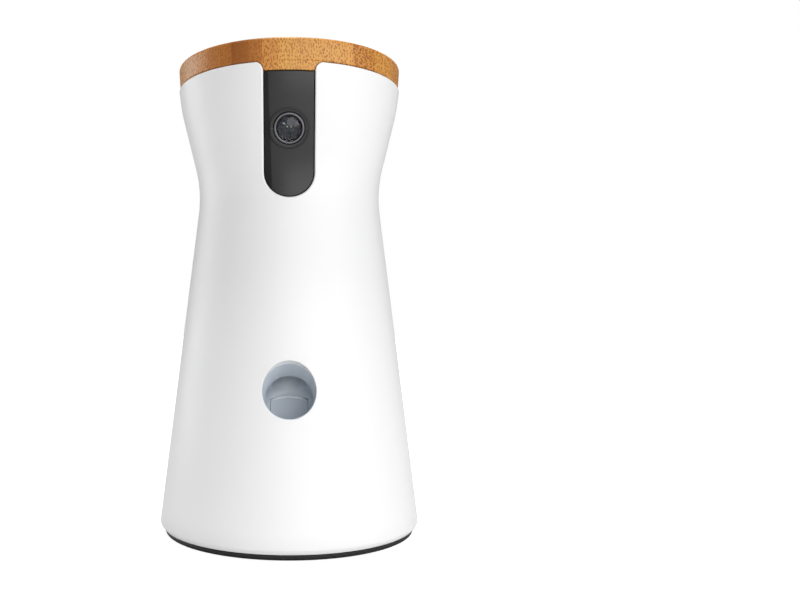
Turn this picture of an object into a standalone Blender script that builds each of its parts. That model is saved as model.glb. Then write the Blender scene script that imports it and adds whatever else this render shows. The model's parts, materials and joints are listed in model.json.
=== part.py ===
"""Treat tossing pet camera.

A hollow hourglass shell turns on a round base. Treats lie in a hopper under a round wooden lid,
a pocketed wheel drops them one by one down a chute, and a sprung paddle throws them out of the
round mouth low on the front. The camera looks out of a dark panel in a slot of the shell.

Metres, +Z up, the front faces -Y, the floor is at z = 0 and the turning axis is the Z axis.
"""
import bmesh
import bpy
from math import acos, atan2, cos, pi, radians, sin, sqrt, tan
from mathutils import Vector

# Shared clearances and mesh fineness
gap = 0.0003
overrun = 0.002
weld_distance = 0.00001
fine_steps = 36
medium_steps = 20
hidden_steps_share = 0.5
small_steps = 12
boss_steps = 8

# Outer shell
shell_bottom = 0.0031
shell_top = 0.2099
shell_wall = 0.0022
rim_radius = 0.05295
rim_fillet = 0.0008
shoulder_radius = 0.05164
shoulder_drop = 0.0099
shoulder_fillet = 0.080
waist_radius = 0.0423
waist_drop = 0.0478
waist_fillet = 0.060
bulge_radius = 0.06185
bulge_height = 0.0060
bulge_fillet = 0.0015
bottom_radius = 0.05955
slot_margin = 0.0025
slot_depth = 0.0561
slot_flare = 0.0042
grille_height = 0.0680
grille_pitch = 0.0048
grille_hole_radius = 0.0013
grille_rings = 1

# Lid
lid_thickness = 0.0098
lid_edge_fillet = 0.0012
plug_depth = 0.0038
plug_clearance = 0.0004
seal_width = 0.0020
seal_height = 0.0012
seal_bite = 0.0008

# Camera panel and camera
panel_recess = 0.0009
panel_thickness = 0.0021
panel_flange = 0.0012
panel_lip = 0.0030
lens_drop = 0.0272
bezel_width = 0.0017
bezel_depth = 0.0035
bezel_proud = 0.0002
ring_radius = 0.0066
ring_wall = 0.0010
ring_depth = 0.0030
ring_proud = 0.0006
glass_edge = 0.0008
glass_crown = 0.0011
barrel_depth = 0.0090
barrel_step = 0.0012
barrel_rings = 3
holder_wall = 0.0015
camera_board_width = 0.0220
camera_board_height = 0.0200
board_thickness = 0.0012

# Base
foot_thickness = 0.0015
foot_width = 0.0055
foot_inset = 0.0013
cover_thickness = 0.0016
rim_bottom = 0.0005
rim_inset = 0.00025
rim_taper = 0.0009
light_width = 0.0024
light_thickness = 0.0011
base_clearance = 0.0018
base_wall = 0.0026
base_room = 0.0060
deck_thickness = 0.0020
hub_outer_radius = 0.0095
hub_bore_radius = 0.0060
hub_neck_radius = 0.0075
ballast_thickness = 0.0025
ballast_inner_radius = 0.0140
ballast_inset = 0.0060
ballast_notch_clearance = 0.0020
glide_inset = 0.0045
glide_width = 0.0025
pan_reach_degrees = 175.0
reset_radius = 0.0022
reset_clearance = 0.0004
reset_inset = 0.0100
reset_travel = 0.0008
reset_height = 0.0042
reset_recess = 0.0005
reset_collar_width = 0.0012
screw_inset = 0.0060
screw_head_radius = 0.0030
screw_head_height = 0.0012
screw_shank_radius = 0.0013
screw_boss_radius = 0.0030

# Power inlet bay under the base
bay_half_width = 0.0065
bay_length = 0.0115
bay_inset = 0.0005
bay_wall = 0.0012
socket_depth = 0.0075
socket_half_width = 0.0045
socket_height = 0.0030
base_board_half_width = 0.0110
base_board_reach = 0.0110
cord_channel_half_width = 0.0026

# Turntable and its drive
pan_gear_height = 0.0040
washer_thickness = 0.0007
turntable_thickness = 0.0022
collar_wall = 0.0030
collar_height = 0.0020
retainer_thickness = 0.0015
retainer_lip = 0.0010
pan_module = 0.00125
pan_gear_teeth = 30
pinion_teeth = 12
pan_shaft_radius = 0.0015
motor_radius = 0.0100
pan_motor_length = 0.0240
motor_boss_radius = 0.0035
motor_boss_height = 0.0010

# Hopper, wheel and their frame
hopper_depth = 0.0733
hopper_floor_thickness = 0.0030
hopper_offset = 0.0080
hopper_wall = 0.0018
hopper_clearance = 0.0017
hopper_shoulder_drop = 0.0139
hopper_mouth_width = 0.0024
hopper_flange_thickness = 0.0015
wheel_thickness = 0.0140
wheel_clearance = 0.0005
wheel_pockets = 6
pocket_wall = 0.0065
pocket_edge = 0.0015
wheel_shaft_radius = 0.0020
baffle_thickness = 0.0014
baffle_share = 0.25
wheel_motor_length = 0.0240
post_radius = 0.0030
post_clearance = 0.0043

# Chute and treat mouth
mouth_rise = 0.0265
mouth_slope_degrees = 24.0
mouth_radius = 0.0115
chute_wall = 0.0014
mouth_tube_clearance = 0.0006
drop_margin = 0.0010
drop_back = 0.0045

# Launcher
paddle_pivot_front = 0.0325
paddle_lean_degrees = 25.0
paddle_length = 0.0226
paddle_half_width = 0.0084
paddle_thickness = 0.0020
paddle_crown = 0.0018
paddle_barrel_radius = 0.0027
pin_radius = 0.0015
running_clearance = 0.0003
paddle_tail_length = 0.0110
paddle_tail_degrees = -55.0
paddle_tail_inner = 0.0006
paddle_tail_outer = 0.0026
tail_nose_radius = 0.0020
paddle_swing_degrees = 40.0
cam_turn_degrees = 300.0
cam_to_pivot_front = 0.0145
cam_to_pivot_rise = 0.0085
cam_floor_clearance = 0.0034
cam_inner = 0.0034
cam_thickness = 0.0040
cam_steps = 24
cam_gear_clearance = 0.0010
cam_gear_thickness = 0.0025
toss_module = 0.0008
cam_gear_teeth = 30
cam_hub_radius = 0.0040
cam_axle_radius = 0.0020
toss_line_degrees = 20.0
toss_motor_length = 0.0220
frame_side_clearance = 0.0014
frame_plate = 0.0020
frame_front_margin = 0.0065
frame_depth = 0.0465
frame_top_margin = 0.0045
frame_bar_depth = 0.0045
frame_fillet = 0.0060
spring_wire = 0.0003
spring_radius = 0.0024
spring_turns = 3
spring_turn_points = 8

# Gear tooth form
pressure_angle = radians(20.0)
addendum_share = 0.85
dedendum_share = 1.15
backlash_share = 0.14

# Electronics in the turning body
main_board_half_width = 0.0280
main_board_rise = 0.0268
main_board_drop = 0.0306
speaker_radius = 0.0150
speaker_magnet_radius = 0.0090
speaker_depth = 0.0125
speaker_rim = 0.0025
harness_radius = 0.0016
harness_bend = 0.0080
harness_entry = 0.0120

# Colours as red, green and blue in linear light
white_plastic = ((0.86, 0.86, 0.86), 0.28, 0.0)
bamboo = ((0.62, 0.34, 0.12), 0.45, 0.0)
panel_black = ((0.045, 0.045, 0.046), 0.32, 0.0)
soft_black = ((0.018, 0.018, 0.019), 0.50, 0.0)
inner_grey = ((0.16, 0.16, 0.17), 0.55, 0.0)
chute_grey = ((0.42, 0.44, 0.47), 0.40, 0.0)
rubber_black = ((0.012, 0.012, 0.012), 0.85, 0.0)
silicone_clear = ((0.75, 0.76, 0.76), 0.50, 0.0)
light_blue = ((0.30, 0.55, 0.80), 0.35, 0.0)
steel = ((0.56, 0.57, 0.58), 0.35, 1.0)
motor_metal = ((0.50, 0.50, 0.51), 0.40, 1.0)
ring_metal = ((0.30, 0.29, 0.31), 0.25, 1.0)
acetal_white = ((0.78, 0.77, 0.73), 0.45, 0.0)
board_green = ((0.02, 0.12, 0.06), 0.50, 0.0)
lens_dark = ((0.02, 0.02, 0.03), 0.08, 0.0)
cable_grey = ((0.10, 0.10, 0.11), 0.60, 0.0)

# Worked out places, from the floor up
rim_top = shell_bottom - gap
cover_bottom = foot_thickness + gap
cover_top = cover_bottom + cover_thickness
deck_bottom = cover_top + base_room
deck_height = deck_bottom + deck_thickness
pan_gear_bottom = deck_height + gap
pan_gear_top = pan_gear_bottom + pan_gear_height
washer_bottom = pan_gear_top + gap
turntable_bottom = washer_bottom + washer_thickness + gap
turntable_top = turntable_bottom + turntable_thickness
collar_top = turntable_top + collar_height
retainer_bottom = collar_top + gap
retainer_top = retainer_bottom + retainer_thickness
base_harness_top = retainer_top + gap
hub_top = retainer_top
main_board_bottom = turntable_top + main_board_rise
harness_rise = main_board_bottom + harness_entry
hopper_floor_height = shell_top - hopper_depth
main_board_top = hopper_floor_height - main_board_drop
hopper_shoulder_height = shell_top - hopper_shoulder_drop
shoulder_height = shell_top - shoulder_drop
waist_height = shell_top - waist_drop
slot_bottom = shell_top - slot_depth
lens_height = shell_top - lens_drop
hopper_floor_top = hopper_floor_height + hopper_floor_thickness
hopper_bottom = hopper_floor_top + gap
wheel_bottom = hopper_bottom + gap
wheel_top = wheel_bottom + wheel_thickness
baffle_bottom = wheel_top + wheel_clearance
lid_bottom = shell_top + gap
lid_top = lid_bottom + lid_thickness
plug_bottom = lid_bottom - plug_depth
hopper_top = plug_bottom - seal_bite
panel_top = plug_bottom - gap
bezel_radius = ring_radius + gap + bezel_width
glass_radius = ring_radius - ring_wall - gap
slot_half_width = bezel_radius + slot_margin
cam_gear_inner = paddle_half_width + cam_gear_clearance
frame_inner = cam_gear_inner + cam_gear_thickness + frame_side_clearance
side_on = (pi / 2, 0, pi / 2)
front_on = (pi / 2, 0, 0)
along_x = (0, pi / 2, 0)
flat_turn = (0, 0, 0)


def clear_scene():
    """Remove what the scene holds."""
    for item in list(bpy.data.objects):
        bpy.data.objects.remove(item, do_unlink=True)


def new_collection(name):
    """A collection linked to the scene."""
    group = bpy.data.collections.new(name)
    bpy.context.scene.collection.children.link(group)
    return group


def material(name, look):
    """A Principled material of one colour, roughness and metallic value."""
    colour, roughness, metallic = look
    made = bpy.data.materials.new(name)
    made.use_nodes = True
    shader = made.node_tree.nodes["Principled BSDF"]
    shader.inputs["Base Color"].default_value = (*colour, 1.0)
    shader.inputs["Roughness"].default_value = roughness
    shader.inputs["Metallic"].default_value = metallic
    made.diffuse_color = (*colour, 1.0)
    return made


clear_scene()
parts = new_collection("treat_tossing_pet_camera")
cutters = new_collection("cutters")


def add_object(name, mesh, look=None, place=(0, 0, 0), turn=flat_turn):
    """Link a mesh as a part with its look, or as a hidden cutter when it has none."""
    made = bpy.data.objects.new(name, mesh)
    made.location = place
    made.rotation_euler = turn
    if look:
        mesh.materials.append(material(name, look))
        parts.objects.link(made)
    else:
        cutters.objects.link(made)
        made.hide_render = True
        made.display_type = "WIRE"
    return made


def smooth(mesh):
    """Shade a mesh smooth with its real edges kept sharp."""
    mesh.shade_smooth()
    mesh.set_sharp_from_angle(angle=radians(35.0))


def rounded(corners, closed=False):
    """Points along a path of (x, y, fillet, steps) corners, with an arc at each fillet."""
    points = []
    last = len(corners) - 1
    for index, (x, y, fillet, steps) in enumerate(corners):
        here = Vector((x, y))
        if fillet == 0 or (not closed and index in (0, last)):
            points.append(here)
            continue
        before = Vector(corners[index - 1][:2]) - here
        after = Vector(corners[(index + 1) % len(corners)][:2]) - here
        half = before.angle(after) / 2
        reach = min(fillet / tan(half), min(before.length, after.length) / 2)
        radius = reach * tan(half)
        middle = here + (before.normalized() + after.normalized()).normalized() * radius / sin(half)
        start = here + before.normalized() * reach - middle
        end = here + after.normalized() * reach - middle
        sweep = start.angle_signed(end)
        for step in range(steps + 1):
            angle = -sweep * step / steps
            points.append(middle + Vector((start.x * cos(angle) - start.y * sin(angle),
                                           start.x * sin(angle) + start.y * cos(angle))))
    return points


def offset_path(corners, distance):
    """The same open path of corners moved square to itself, to the left of its run."""
    moved = []
    last = len(corners) - 1
    for index, (x, y, fillet, steps) in enumerate(corners):
        here = Vector((x, y))
        into = here - Vector(corners[index - 1][:2]) if index else None
        out = Vector(corners[index + 1][:2]) - here if index < last else None
        runs = [run.normalized() for run in (into, out) if run]
        normals = [Vector((-run.y, run.x)) for run in runs]
        if len(normals) == 1:
            shift = normals[0] * distance
        else:
            total = normals[0] + normals[1]
            shift = total * (distance / (1 + normals[0].dot(normals[1])))
        moved.append((x + shift.x, y + shift.y, fillet, steps))
    return moved


def radius_at(points, height):
    """Radius of a turned outline at a height, between its two nearest points."""
    for upper, lower in zip(points, points[1:]):
        if lower.y <= height <= upper.y:
            share = (height - lower.y) / (upper.y - lower.y)
            return lower.x + (upper.x - lower.x) * share
    return points[0].x if height > points[0].y else points[-1].x


def turned(name, outline, look=None, steps=fine_steps, place=(0, 0, 0), turn=flat_turn):
    """A turned solid: its outline of (radius, height) points runs down the outer side.

    An outline that starts and ends on the axis is solid, any other is closed into a ring.
    """
    points = [(point[0], 0, point[1]) for point in outline]
    edges = [(index, index + 1) for index in range(len(points) - 1)]
    if outline[0][0] > 0:
        edges.append((len(points) - 1, 0))
    mesh = bpy.data.meshes.new(name)
    mesh.from_pydata(points, edges, [])
    made = add_object(name, mesh, look, place, turn)
    screw = made.modifiers.new("turn", "SCREW")
    screw.axis = "Z"
    screw.angle = 2 * pi
    screw.steps = steps
    screw.render_steps = steps
    screw.use_merge_vertices = True
    screw.merge_threshold = weld_distance
    screw.use_smooth_shade = True
    weld = made.modifiers.new("weld", "WELD")
    weld.merge_threshold = weld_distance
    return made


def ring_outline(inner, outer, bottom, top):
    """Outline of a plain ring."""
    return [(outer, top), (outer, bottom), (inner, bottom), (inner, top)]


def disc_outline(radius, bottom, top):
    """Outline of a plain disc or rod."""
    return [(0, top), (radius, top), (radius, bottom), (0, bottom)]


def box(name, low, high, look=None):
    """A box between two opposite corners."""
    mesh = bpy.data.meshes.new(name)
    shape = bmesh.new()
    bmesh.ops.create_cube(shape, size=1)
    low, high = Vector(low), Vector(high)
    size = high - low
    for vertex in shape.verts:
        vertex.co = Vector(part * length for part, length in zip(vertex.co, size))
    shape.to_mesh(mesh)
    shape.free()
    return add_object(name, mesh, look, (low + high) / 2)


def rod(name, radius, start, end, look=None, steps=small_steps):
    """A round rod between two points."""
    start, end = Vector(start), Vector(end)
    run = end - start
    mesh = bpy.data.meshes.new(name)
    shape = bmesh.new()
    bmesh.ops.create_cone(shape, cap_ends=True, segments=steps, radius1=radius, radius2=radius,
                          depth=run.length)
    shape.to_mesh(mesh)
    shape.free()
    smooth(mesh)
    made = add_object(name, mesh, look, (start + end) / 2)
    made.rotation_euler = run.to_track_quat("Z", "Y").to_euler()
    return made


def mesh_from_curve(name, curve, look, place, turn):
    """Turn a curve into a closed mesh object and remove the curve."""
    guide = bpy.data.objects.new(name + "_curve", curve)
    guide.location = place
    guide.rotation_euler = turn
    cutters.objects.link(guide)
    bpy.context.view_layer.update()
    graph = bpy.context.evaluated_depsgraph_get()
    mesh = bpy.data.meshes.new_from_object(guide.evaluated_get(graph))
    mesh.name = name
    world = guide.matrix_world.copy()
    shape = bmesh.new()
    shape.from_mesh(mesh)
    bmesh.ops.remove_doubles(shape, verts=shape.verts, dist=weld_distance)
    bmesh.ops.recalc_face_normals(shape, faces=shape.faces)
    shape.to_mesh(mesh)
    shape.free()
    bpy.data.objects.remove(guide, do_unlink=True)
    mesh.materials.clear()
    made = add_object(name, mesh, look)
    made.matrix_world = world
    return made


def flat(name, outlines, thickness, look=None, place=(0, 0, 0), turn=flat_turn):
    """A flat outline, with any holes, given a thickness about its own plane."""
    curve = bpy.data.curves.new(name, "CURVE")
    curve.dimensions = "2D"
    curve.fill_mode = "BOTH"
    curve.extrude = thickness / 2
    for outline in outlines:
        spline = curve.splines.new("POLY")
        spline.points.add(len(outline) - 1)
        for point, (x, y) in zip(spline.points, outline):
            point.co = (x, y, 0, 1)
        spline.use_cyclic_u = True
    return mesh_from_curve(name, curve, look, place, turn)


def tube(name, route, radius, look, resolution=2):
    """A round tube along a list of points, with closed ends."""
    curve = bpy.data.curves.new(name, "CURVE")
    curve.dimensions = "3D"
    curve.bevel_depth = radius
    curve.bevel_resolution = resolution
    curve.use_fill_caps = True
    spline = curve.splines.new("POLY")
    spline.points.add(len(route) - 1)
    for point, place in zip(spline.points, route):
        point.co = (*place, 1)
    made = mesh_from_curve(name, curve, look, (0, 0, 0), flat_turn)
    smooth(made.data)
    return made


def boolean(target, tool, operation="DIFFERENCE"):
    """Cut, join or keep the shared volume of a solid and a hidden tool."""
    change = target.modifiers.new(tool.name, "BOOLEAN")
    change.operation = operation
    change.solver = "EXACT"
    change.object = tool
    return target


def hang(piece, axis):
    """Parent a piece to the empty on its joint's axis, where it already stands."""
    bpy.context.view_layer.update()
    place = piece.matrix_world.copy()
    piece.parent = axis
    piece.matrix_parent_inverse.identity()
    piece.matrix_local = axis.matrix_world.inverted() @ place
    return piece


def joint_axis(name, place, parent=None):
    """An empty on a joint's axis."""
    axis = bpy.data.objects.new(name, None)
    axis.location = place
    parts.objects.link(axis)
    if parent:
        hang(axis, parent)
    bpy.context.view_layer.update()
    return axis


def circle(radius, steps, middle=(0, 0)):
    """Points of a circle."""
    return [(middle[0] + radius * cos(2 * pi * step / steps),
             middle[1] + radius * sin(2 * pi * step / steps)) for step in range(steps)]


def involute(angle):
    """The involute function."""
    return tan(angle) - angle


def gear_outline(teeth, module, turn=0.0):
    """Outline of an external gear with one tooth centred on the turn angle."""
    pitch = module * teeth / 2
    base = pitch * cos(pressure_angle)
    root = pitch - module * dedendum_share
    tip = pitch + module * addendum_share
    half_tooth = (pi / 2 - backlash_share) / teeth

    def half_angle(radius):
        lean = acos(base / max(radius, base))
        return half_tooth + involute(pressure_angle) - involute(lean)

    flank = [(radius, half_angle(radius)) for radius in (root, pitch, tip)]
    points = []
    for tooth in range(teeth):
        middle = turn + 2 * pi * tooth / teeth
        for radius, half in flank:
            points.append((radius * cos(middle - half), radius * sin(middle - half)))
        for radius, half in reversed(flank):
            points.append((radius * cos(middle + half), radius * sin(middle + half)))
    return points


def meshed_turn(line_angle, teeth):
    """Turn of a gear that puts a gap on the line back to the gear it meets."""
    return line_angle + pi + pi / teeth


# The shell's outer line, from the rim down, and the same line inside the wall
shell_corners = [(rim_radius, shell_top, 0, 1),
                 (shoulder_radius, shoulder_height, shoulder_fillet, 3),
                 (waist_radius, waist_height, waist_fillet, 6),
                 (bulge_radius, bulge_height, bulge_fillet, 2),
                 (bottom_radius, shell_bottom, 0, 1)]
outer_line = rounded(shell_corners)
inner_corners = [(x, y, fillet, max(1, round(steps * hidden_steps_share)))
                 for x, y, fillet, steps in offset_path(shell_corners, -shell_wall)]
inner_line = rounded(inner_corners)


def inner_radius(height):
    """Radius of the shell's inside at a height."""
    return radius_at(inner_line, height)


def inner_room(bottom, top):
    """Smallest radius of the shell's inside between two heights."""
    between = [point.x for point in inner_line if bottom < point.y < top]
    return min([inner_radius(bottom), inner_radius(top), *between])


# Radii of the base, from the shell inwards
rim_outer_radius = bottom_radius - rim_inset
rim_bottom_radius = rim_outer_radius - rim_taper
base_wall_outer = inner_room(shell_bottom, deck_height) - base_clearance
base_wall_inner = base_wall_outer - base_wall
cover_radius = base_wall_inner - 2 * gap
light_outer_radius = cover_radius + gap + light_width
foot_outer_radius = cover_radius - foot_inset
foot_inner_radius = foot_outer_radius - foot_width
bay_back = foot_inner_radius - bay_inset
bay_front = bay_back - bay_length
ballast_outer_radius = foot_inner_radius - ballast_inset
screw_place_radius = ballast_outer_radius - screw_inset
reset_place = reset_inset - ballast_outer_radius
glide_inner_radius = base_wall_outer - glide_inset - glide_width

# The pan drive's reach, and the stop posts: as thick as the pan's reach leaves room for
pan_distance = pan_module * (pan_gear_teeth + pinion_teeth) / 2
pinion_reach = pan_distance + pan_module * (pinion_teeth / 2 + addendum_share)
stop_radius = (pinion_reach + glide_inner_radius) / 2
stop_post_radius = stop_radius * sin(radians(180.0 - pan_reach_degrees) / 2) - gap

# The hopper fills the waist, and the wheel's pockets fill the wheel
hopper_room = inner_room(hopper_bottom, hopper_shoulder_height)
hopper_inner_radius = hopper_room - hopper_offset - hopper_wall - hopper_clearance
wheel_radius = hopper_inner_radius - wheel_clearance
pocket_spread = 2 * sin(pi / wheel_pockets)
pocket_room = pocket_spread * (wheel_radius - pocket_edge) - pocket_wall
pocket_radius = pocket_room / (2 + pocket_spread)
pocket_circle = wheel_radius - pocket_edge - pocket_radius
drop_radius = pocket_radius + drop_margin
post_spread = inner_room(turntable_top, hopper_floor_height) - post_radius - post_clearance


def nose_place(swing):
    """Where the middle of the paddle's nose lies, from the cam's centre, at a swing."""
    angle = radians(paddle_tail_degrees) - swing
    return Vector((paddle_tail_length * cos(angle) - cam_to_pivot_front,
                   paddle_tail_length * sin(angle) + cam_to_pivot_rise))


def cam_outline():
    """The snail cam's outline: the nose's path seen from the cam, drawn in by its radius."""
    swing, turn = radians(paddle_swing_degrees), radians(cam_turn_degrees)
    path = []
    for step in range(cam_steps + 1):
        share = step / cam_steps
        place = nose_place(swing * share)
        angle = atan2(place.y, place.x) - turn * share
        path.append(Vector((cos(angle), sin(angle))) * place.length)
    inset = tail_nose_radius + running_clearance
    points = []
    for step, place in enumerate(path):
        run = path[min(step + 1, cam_steps)] - path[max(step - 1, 0)]
        inwards = Vector((run.y, -run.x)).normalized()
        if inwards.dot(place) > 0:
            inwards = -inwards
        points.append(place + inwards * inset)
    return [tuple(point) for point in reversed(points)]


# The launcher stands on the turntable: the cam's centre, the paddle's pivot and the toss drive
cam_reach = max(Vector(point).length for point in cam_outline())
cam_height = turntable_top + cam_reach + cam_floor_clearance
paddle_pivot_height = cam_height + cam_to_pivot_rise
frame_front = paddle_pivot_front + frame_front_margin
frame_back = frame_depth - frame_front
frame_top = paddle_pivot_height + frame_top_margin
pivot = Vector((0, -paddle_pivot_front, paddle_pivot_height))
cam_centre = Vector((0, cam_to_pivot_front - paddle_pivot_front, cam_height))
toss_line = radians(toss_line_degrees)
toss_distance = toss_module * (cam_gear_teeth + pinion_teeth) / 2
toss_centre = cam_centre + Vector((0, cos(toss_line), sin(toss_line))) * toss_distance


def slot_outline(half_width, bottom, top, flare):
    """The slot's outline: a round foot, straight sides and flared or plain top corners."""
    corners = [(half_width, top, 0, 1)]
    if flare:
        corners = [(half_width + flare + overrun, top + overrun, 0, 1),
                   (half_width + flare + overrun, top, 0, 1),
                   (half_width, top, flare, 4)]
    mirrored = [(-x, y, fillet, steps) for x, y, fillet, steps in corners]
    foot = [(half_width, bottom, half_width, 8), (-half_width, bottom, half_width, 8)]
    path = corners + foot + mirrored[::-1]
    return [tuple(point) for point in rounded(path)]


def slot_prism(name, half_width, bottom, top, flare=0.0):
    """A cutter of the slot's outline, from in front of the shell to inside it."""
    front = max(rim_radius, shoulder_radius) + overrun
    depth = front - slot_half_width
    middle = depth / 2 - front
    outline = slot_outline(half_width, bottom, top, flare)
    return flat(name, [outline], depth, None, (0, middle, 0), front_on)


# The treat tube's line: the mouth on the shell's outside, its run down and inwards, and its end
# in front of the paddle's barrel
mouth_height = paddle_pivot_height + mouth_rise
mouth_front = radius_at(outer_line, mouth_height)
mouth_slope = radians(mouth_slope_degrees)
mouth_place = Vector((0, -mouth_front, mouth_height))
mouth_run = Vector((0, cos(mouth_slope), -sin(mouth_slope)))
mouth_down = Vector((0, -sin(mouth_slope), -cos(mouth_slope)))
mouth_start = mouth_place - mouth_run * (mouth_radius + overrun)
paddle_lean = radians(paddle_lean_degrees)
paddle_face = Vector((0, -cos(paddle_lean), sin(paddle_lean)))
mouth_low_edge = mouth_place + mouth_down * (mouth_radius + chute_wall)
mouth_room = (mouth_low_edge - pivot).dot(paddle_face) - paddle_barrel_radius
mouth_tube_length = (mouth_room - mouth_tube_clearance) / -mouth_run.dot(paddle_face)
mouth_end = mouth_place + mouth_run * mouth_tube_length
drop_place = hopper_offset - pocket_circle
drop_start = Vector((0, drop_place, hopper_floor_height - gap))
drop_low = mouth_end - mouth_run * drop_back
drop_run = (drop_low - drop_start).normalized()
drop_end = drop_low - drop_run * mouth_radius


def make_outer_shell():
    """The one-piece hourglass shell, with its camera slot, treat mouth and speaker holes."""
    loop = [(inner_corners[0][0], shell_top, rim_fillet, 1)]
    loop += [(rim_radius, shell_top, rim_fillet, 2)]
    loop += shell_corners[1:-1]
    loop += [(bottom_radius, shell_bottom, 0, 1)]
    loop += [(inner_radius(shell_bottom), shell_bottom, 0, 1)]
    loop += inner_corners[-2:0:-1]
    shell = turned("outer_shell", rounded(loop, closed=True), white_plastic)
    slot = slot_prism("slot_cutter", slot_half_width, slot_bottom, shell_top, slot_flare)
    boolean(shell, slot)
    mouth = rod("mouth_cutter", mouth_radius, mouth_start, mouth_end, None, medium_steps)
    boolean(shell, mouth)
    return cut_grille(shell)


def cut_grille(shell):
    """Speaker holes through the rear wall, in rings round a middle one."""
    depth = rim_radius
    for ring in range(grille_rings + 1):
        count = 6 * ring or 1
        for step in range(count):
            angle = 2 * pi * step / count
            x = ring * grille_pitch * cos(angle)
            z = grille_height + ring * grille_pitch * sin(angle)
            name = f"grille_cutter_{ring}_{step}"
            hole = rod(name, grille_hole_radius, (x, depth / 2, z),
                       (x, bulge_radius + overrun, z), None, boss_steps // 2)
            boolean(shell, hole)
    return shell


def shell_band(name, near, far, bottom, top, look=None):
    """A turned band that follows the shell's line, between two depths inside its outside."""
    outside = rounded(offset_path(shell_corners, -near))
    inside = rounded(offset_path(shell_corners, -far))
    front = [point for point in outside if bottom < point.y < top]
    back = [point for point in inside if bottom < point.y < top]
    outline = [(radius_at(outside, top), top), *front, (radius_at(outside, bottom), bottom),
               (radius_at(inside, bottom), bottom), *back[::-1], (radius_at(inside, top), top)]
    return turned(name, outline, look)


def make_camera_panel():
    """The dark panel that fills the slot, with a flange behind the shell's wall."""
    low = slot_bottom - panel_lip - overrun
    panel = shell_band("camera_panel", panel_recess, panel_recess + panel_thickness, low,
                       panel_top, panel_black)
    boolean(panel, slot_prism("panel_shape", slot_half_width - gap, slot_bottom + gap,
                              panel_top + overrun), "INTERSECT")
    flange_front = shell_wall + gap
    flange_top = hopper_top - hopper_flange_thickness - panel_lip
    flange = shell_band("panel_flange", flange_front, flange_front + panel_flange, low,
                        flange_top)
    boolean(flange, slot_prism("flange_shape", slot_half_width + panel_lip,
                               slot_bottom - panel_lip, panel_top + overrun), "INTERSECT")
    boolean(panel, flange, "UNION")
    hole = lens_turned("panel_hole", disc_outline(bezel_radius + gap, -barrel_depth, overrun))
    return boolean(panel, hole)


# The lens line: where it meets the panel's face, and how far the panel leans there
lens_front = radius_at(outer_line, lens_height)
lens_lean = atan2(shoulder_radius - waist_radius, shoulder_height - waist_height)
lens_place = (0, -lens_front + panel_recess / cos(lens_lean), lens_height)


def lens_turned(name, outline, look=None, steps=medium_steps):
    """A piece turned about the lens line, with heights counted outwards from the panel."""
    return turned(name, outline, look, steps, lens_place, (pi / 2 + lens_lean, 0, 0))


def lens_point(across, up, out):
    """A point by its places across and up the panel and outwards from it."""
    return (lens_place[0] + across,
            lens_place[1] - up * sin(lens_lean) - out * cos(lens_lean),
            lens_place[2] + up * cos(lens_lean) - out * sin(lens_lean))


holder_front = -bezel_depth - gap
ring_back = -ring_depth
barrel_front = bezel_proud - glass_crown - glass_edge
barrel_back = barrel_front - barrel_depth


def make_camera():
    """The lens with its bezel, bright ring, stepped barrel, holder and board."""
    sleeve = ring_radius + gap
    lens_turned("lens_bezel", ring_outline(sleeve, bezel_radius, -bezel_depth, bezel_proud),
                soft_black)
    ring_inner = ring_radius - ring_wall
    lens_turned("lens_ring", [(ring_inner + ring_wall / 2, ring_proud), (ring_radius, 0),
                              (ring_radius, ring_back), (ring_inner, ring_back), (ring_inner, 0)],
                ring_metal)
    crown = [(glass_radius * sin(step * pi / 8), glass_crown * cos(step * pi / 8))
             for step in range(5)]
    edge = barrel_front + gap
    dome = [(x, bezel_proud + y - glass_crown) for x, y in crown]
    lens_turned("lens_glass", [*dome, (glass_radius, edge), (0, edge)], lens_dark)
    lens_turned("lens_barrel", barrel_outline(), soft_black)
    lens_turned("camera_holder", ring_outline(sleeve, sleeve + holder_wall, barrel_back,
                                              holder_front), inner_grey)
    make_camera_board()


def barrel_outline():
    """The barrel's outline: a shoulder behind the ring and rings that step in to the lens."""
    mouth = glass_radius - barrel_step / 2
    steps = []
    for ring in range(barrel_rings):
        radius = mouth - ring * barrel_step
        front = barrel_front - ring * barrel_step
        steps += [(radius, front), (radius, front - barrel_step)]
    bottom = barrel_front - barrel_rings * barrel_step
    collar = ring_back - gap
    return [(0, bottom), *steps[::-1], (glass_radius, barrel_front), (glass_radius, collar),
            (ring_radius, collar), (ring_radius, barrel_back), (0, barrel_back)]


def make_camera_board():
    """The camera's circuit board behind the holder."""
    front = barrel_back - gap
    size = (camera_board_width, camera_board_height, board_thickness)
    board = box("camera_board", (0, 0, 0), size, board_green)
    board.location = lens_point(0, 0, front - board_thickness / 2)
    board.rotation_euler = (pi / 2 + lens_lean, 0, 0)
    return board


def make_lid():
    """The wooden lid with its plug and the seal in the plug's underside."""
    plug_radius = inner_room(plug_bottom, shell_top) - plug_clearance
    seal_outer = plug_radius - plug_clearance - seal_width
    seal_inner = seal_outer - seal_width
    groove_top = plug_bottom + seal_height
    edge = lid_edge_fillet
    corners = [(0, lid_top, 0, 1), (rim_radius, lid_top, edge, 2),
               (rim_radius, lid_bottom, edge, 2), (plug_radius, lid_bottom, 0, 1),
               (plug_radius, plug_bottom, 0, 1), (seal_outer + gap, plug_bottom, 0, 1),
               (seal_outer + gap, groove_top, 0, 1), (seal_inner - gap, groove_top, 0, 1),
               (seal_inner - gap, plug_bottom, 0, 1), (0, plug_bottom, 0, 1)]
    lid = turned("lid", rounded(corners), bamboo)
    seal_top = groove_top - gap
    seal = turned("lid_seal", ring_outline(seal_inner, seal_outer, hopper_top + gap, seal_top),
                  silicone_clear)
    lift = joint_axis("lid_lift_axis", (0, 0, lid_bottom), pan_axis)
    hang(lid, lift)
    hang(seal, lift)


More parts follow.
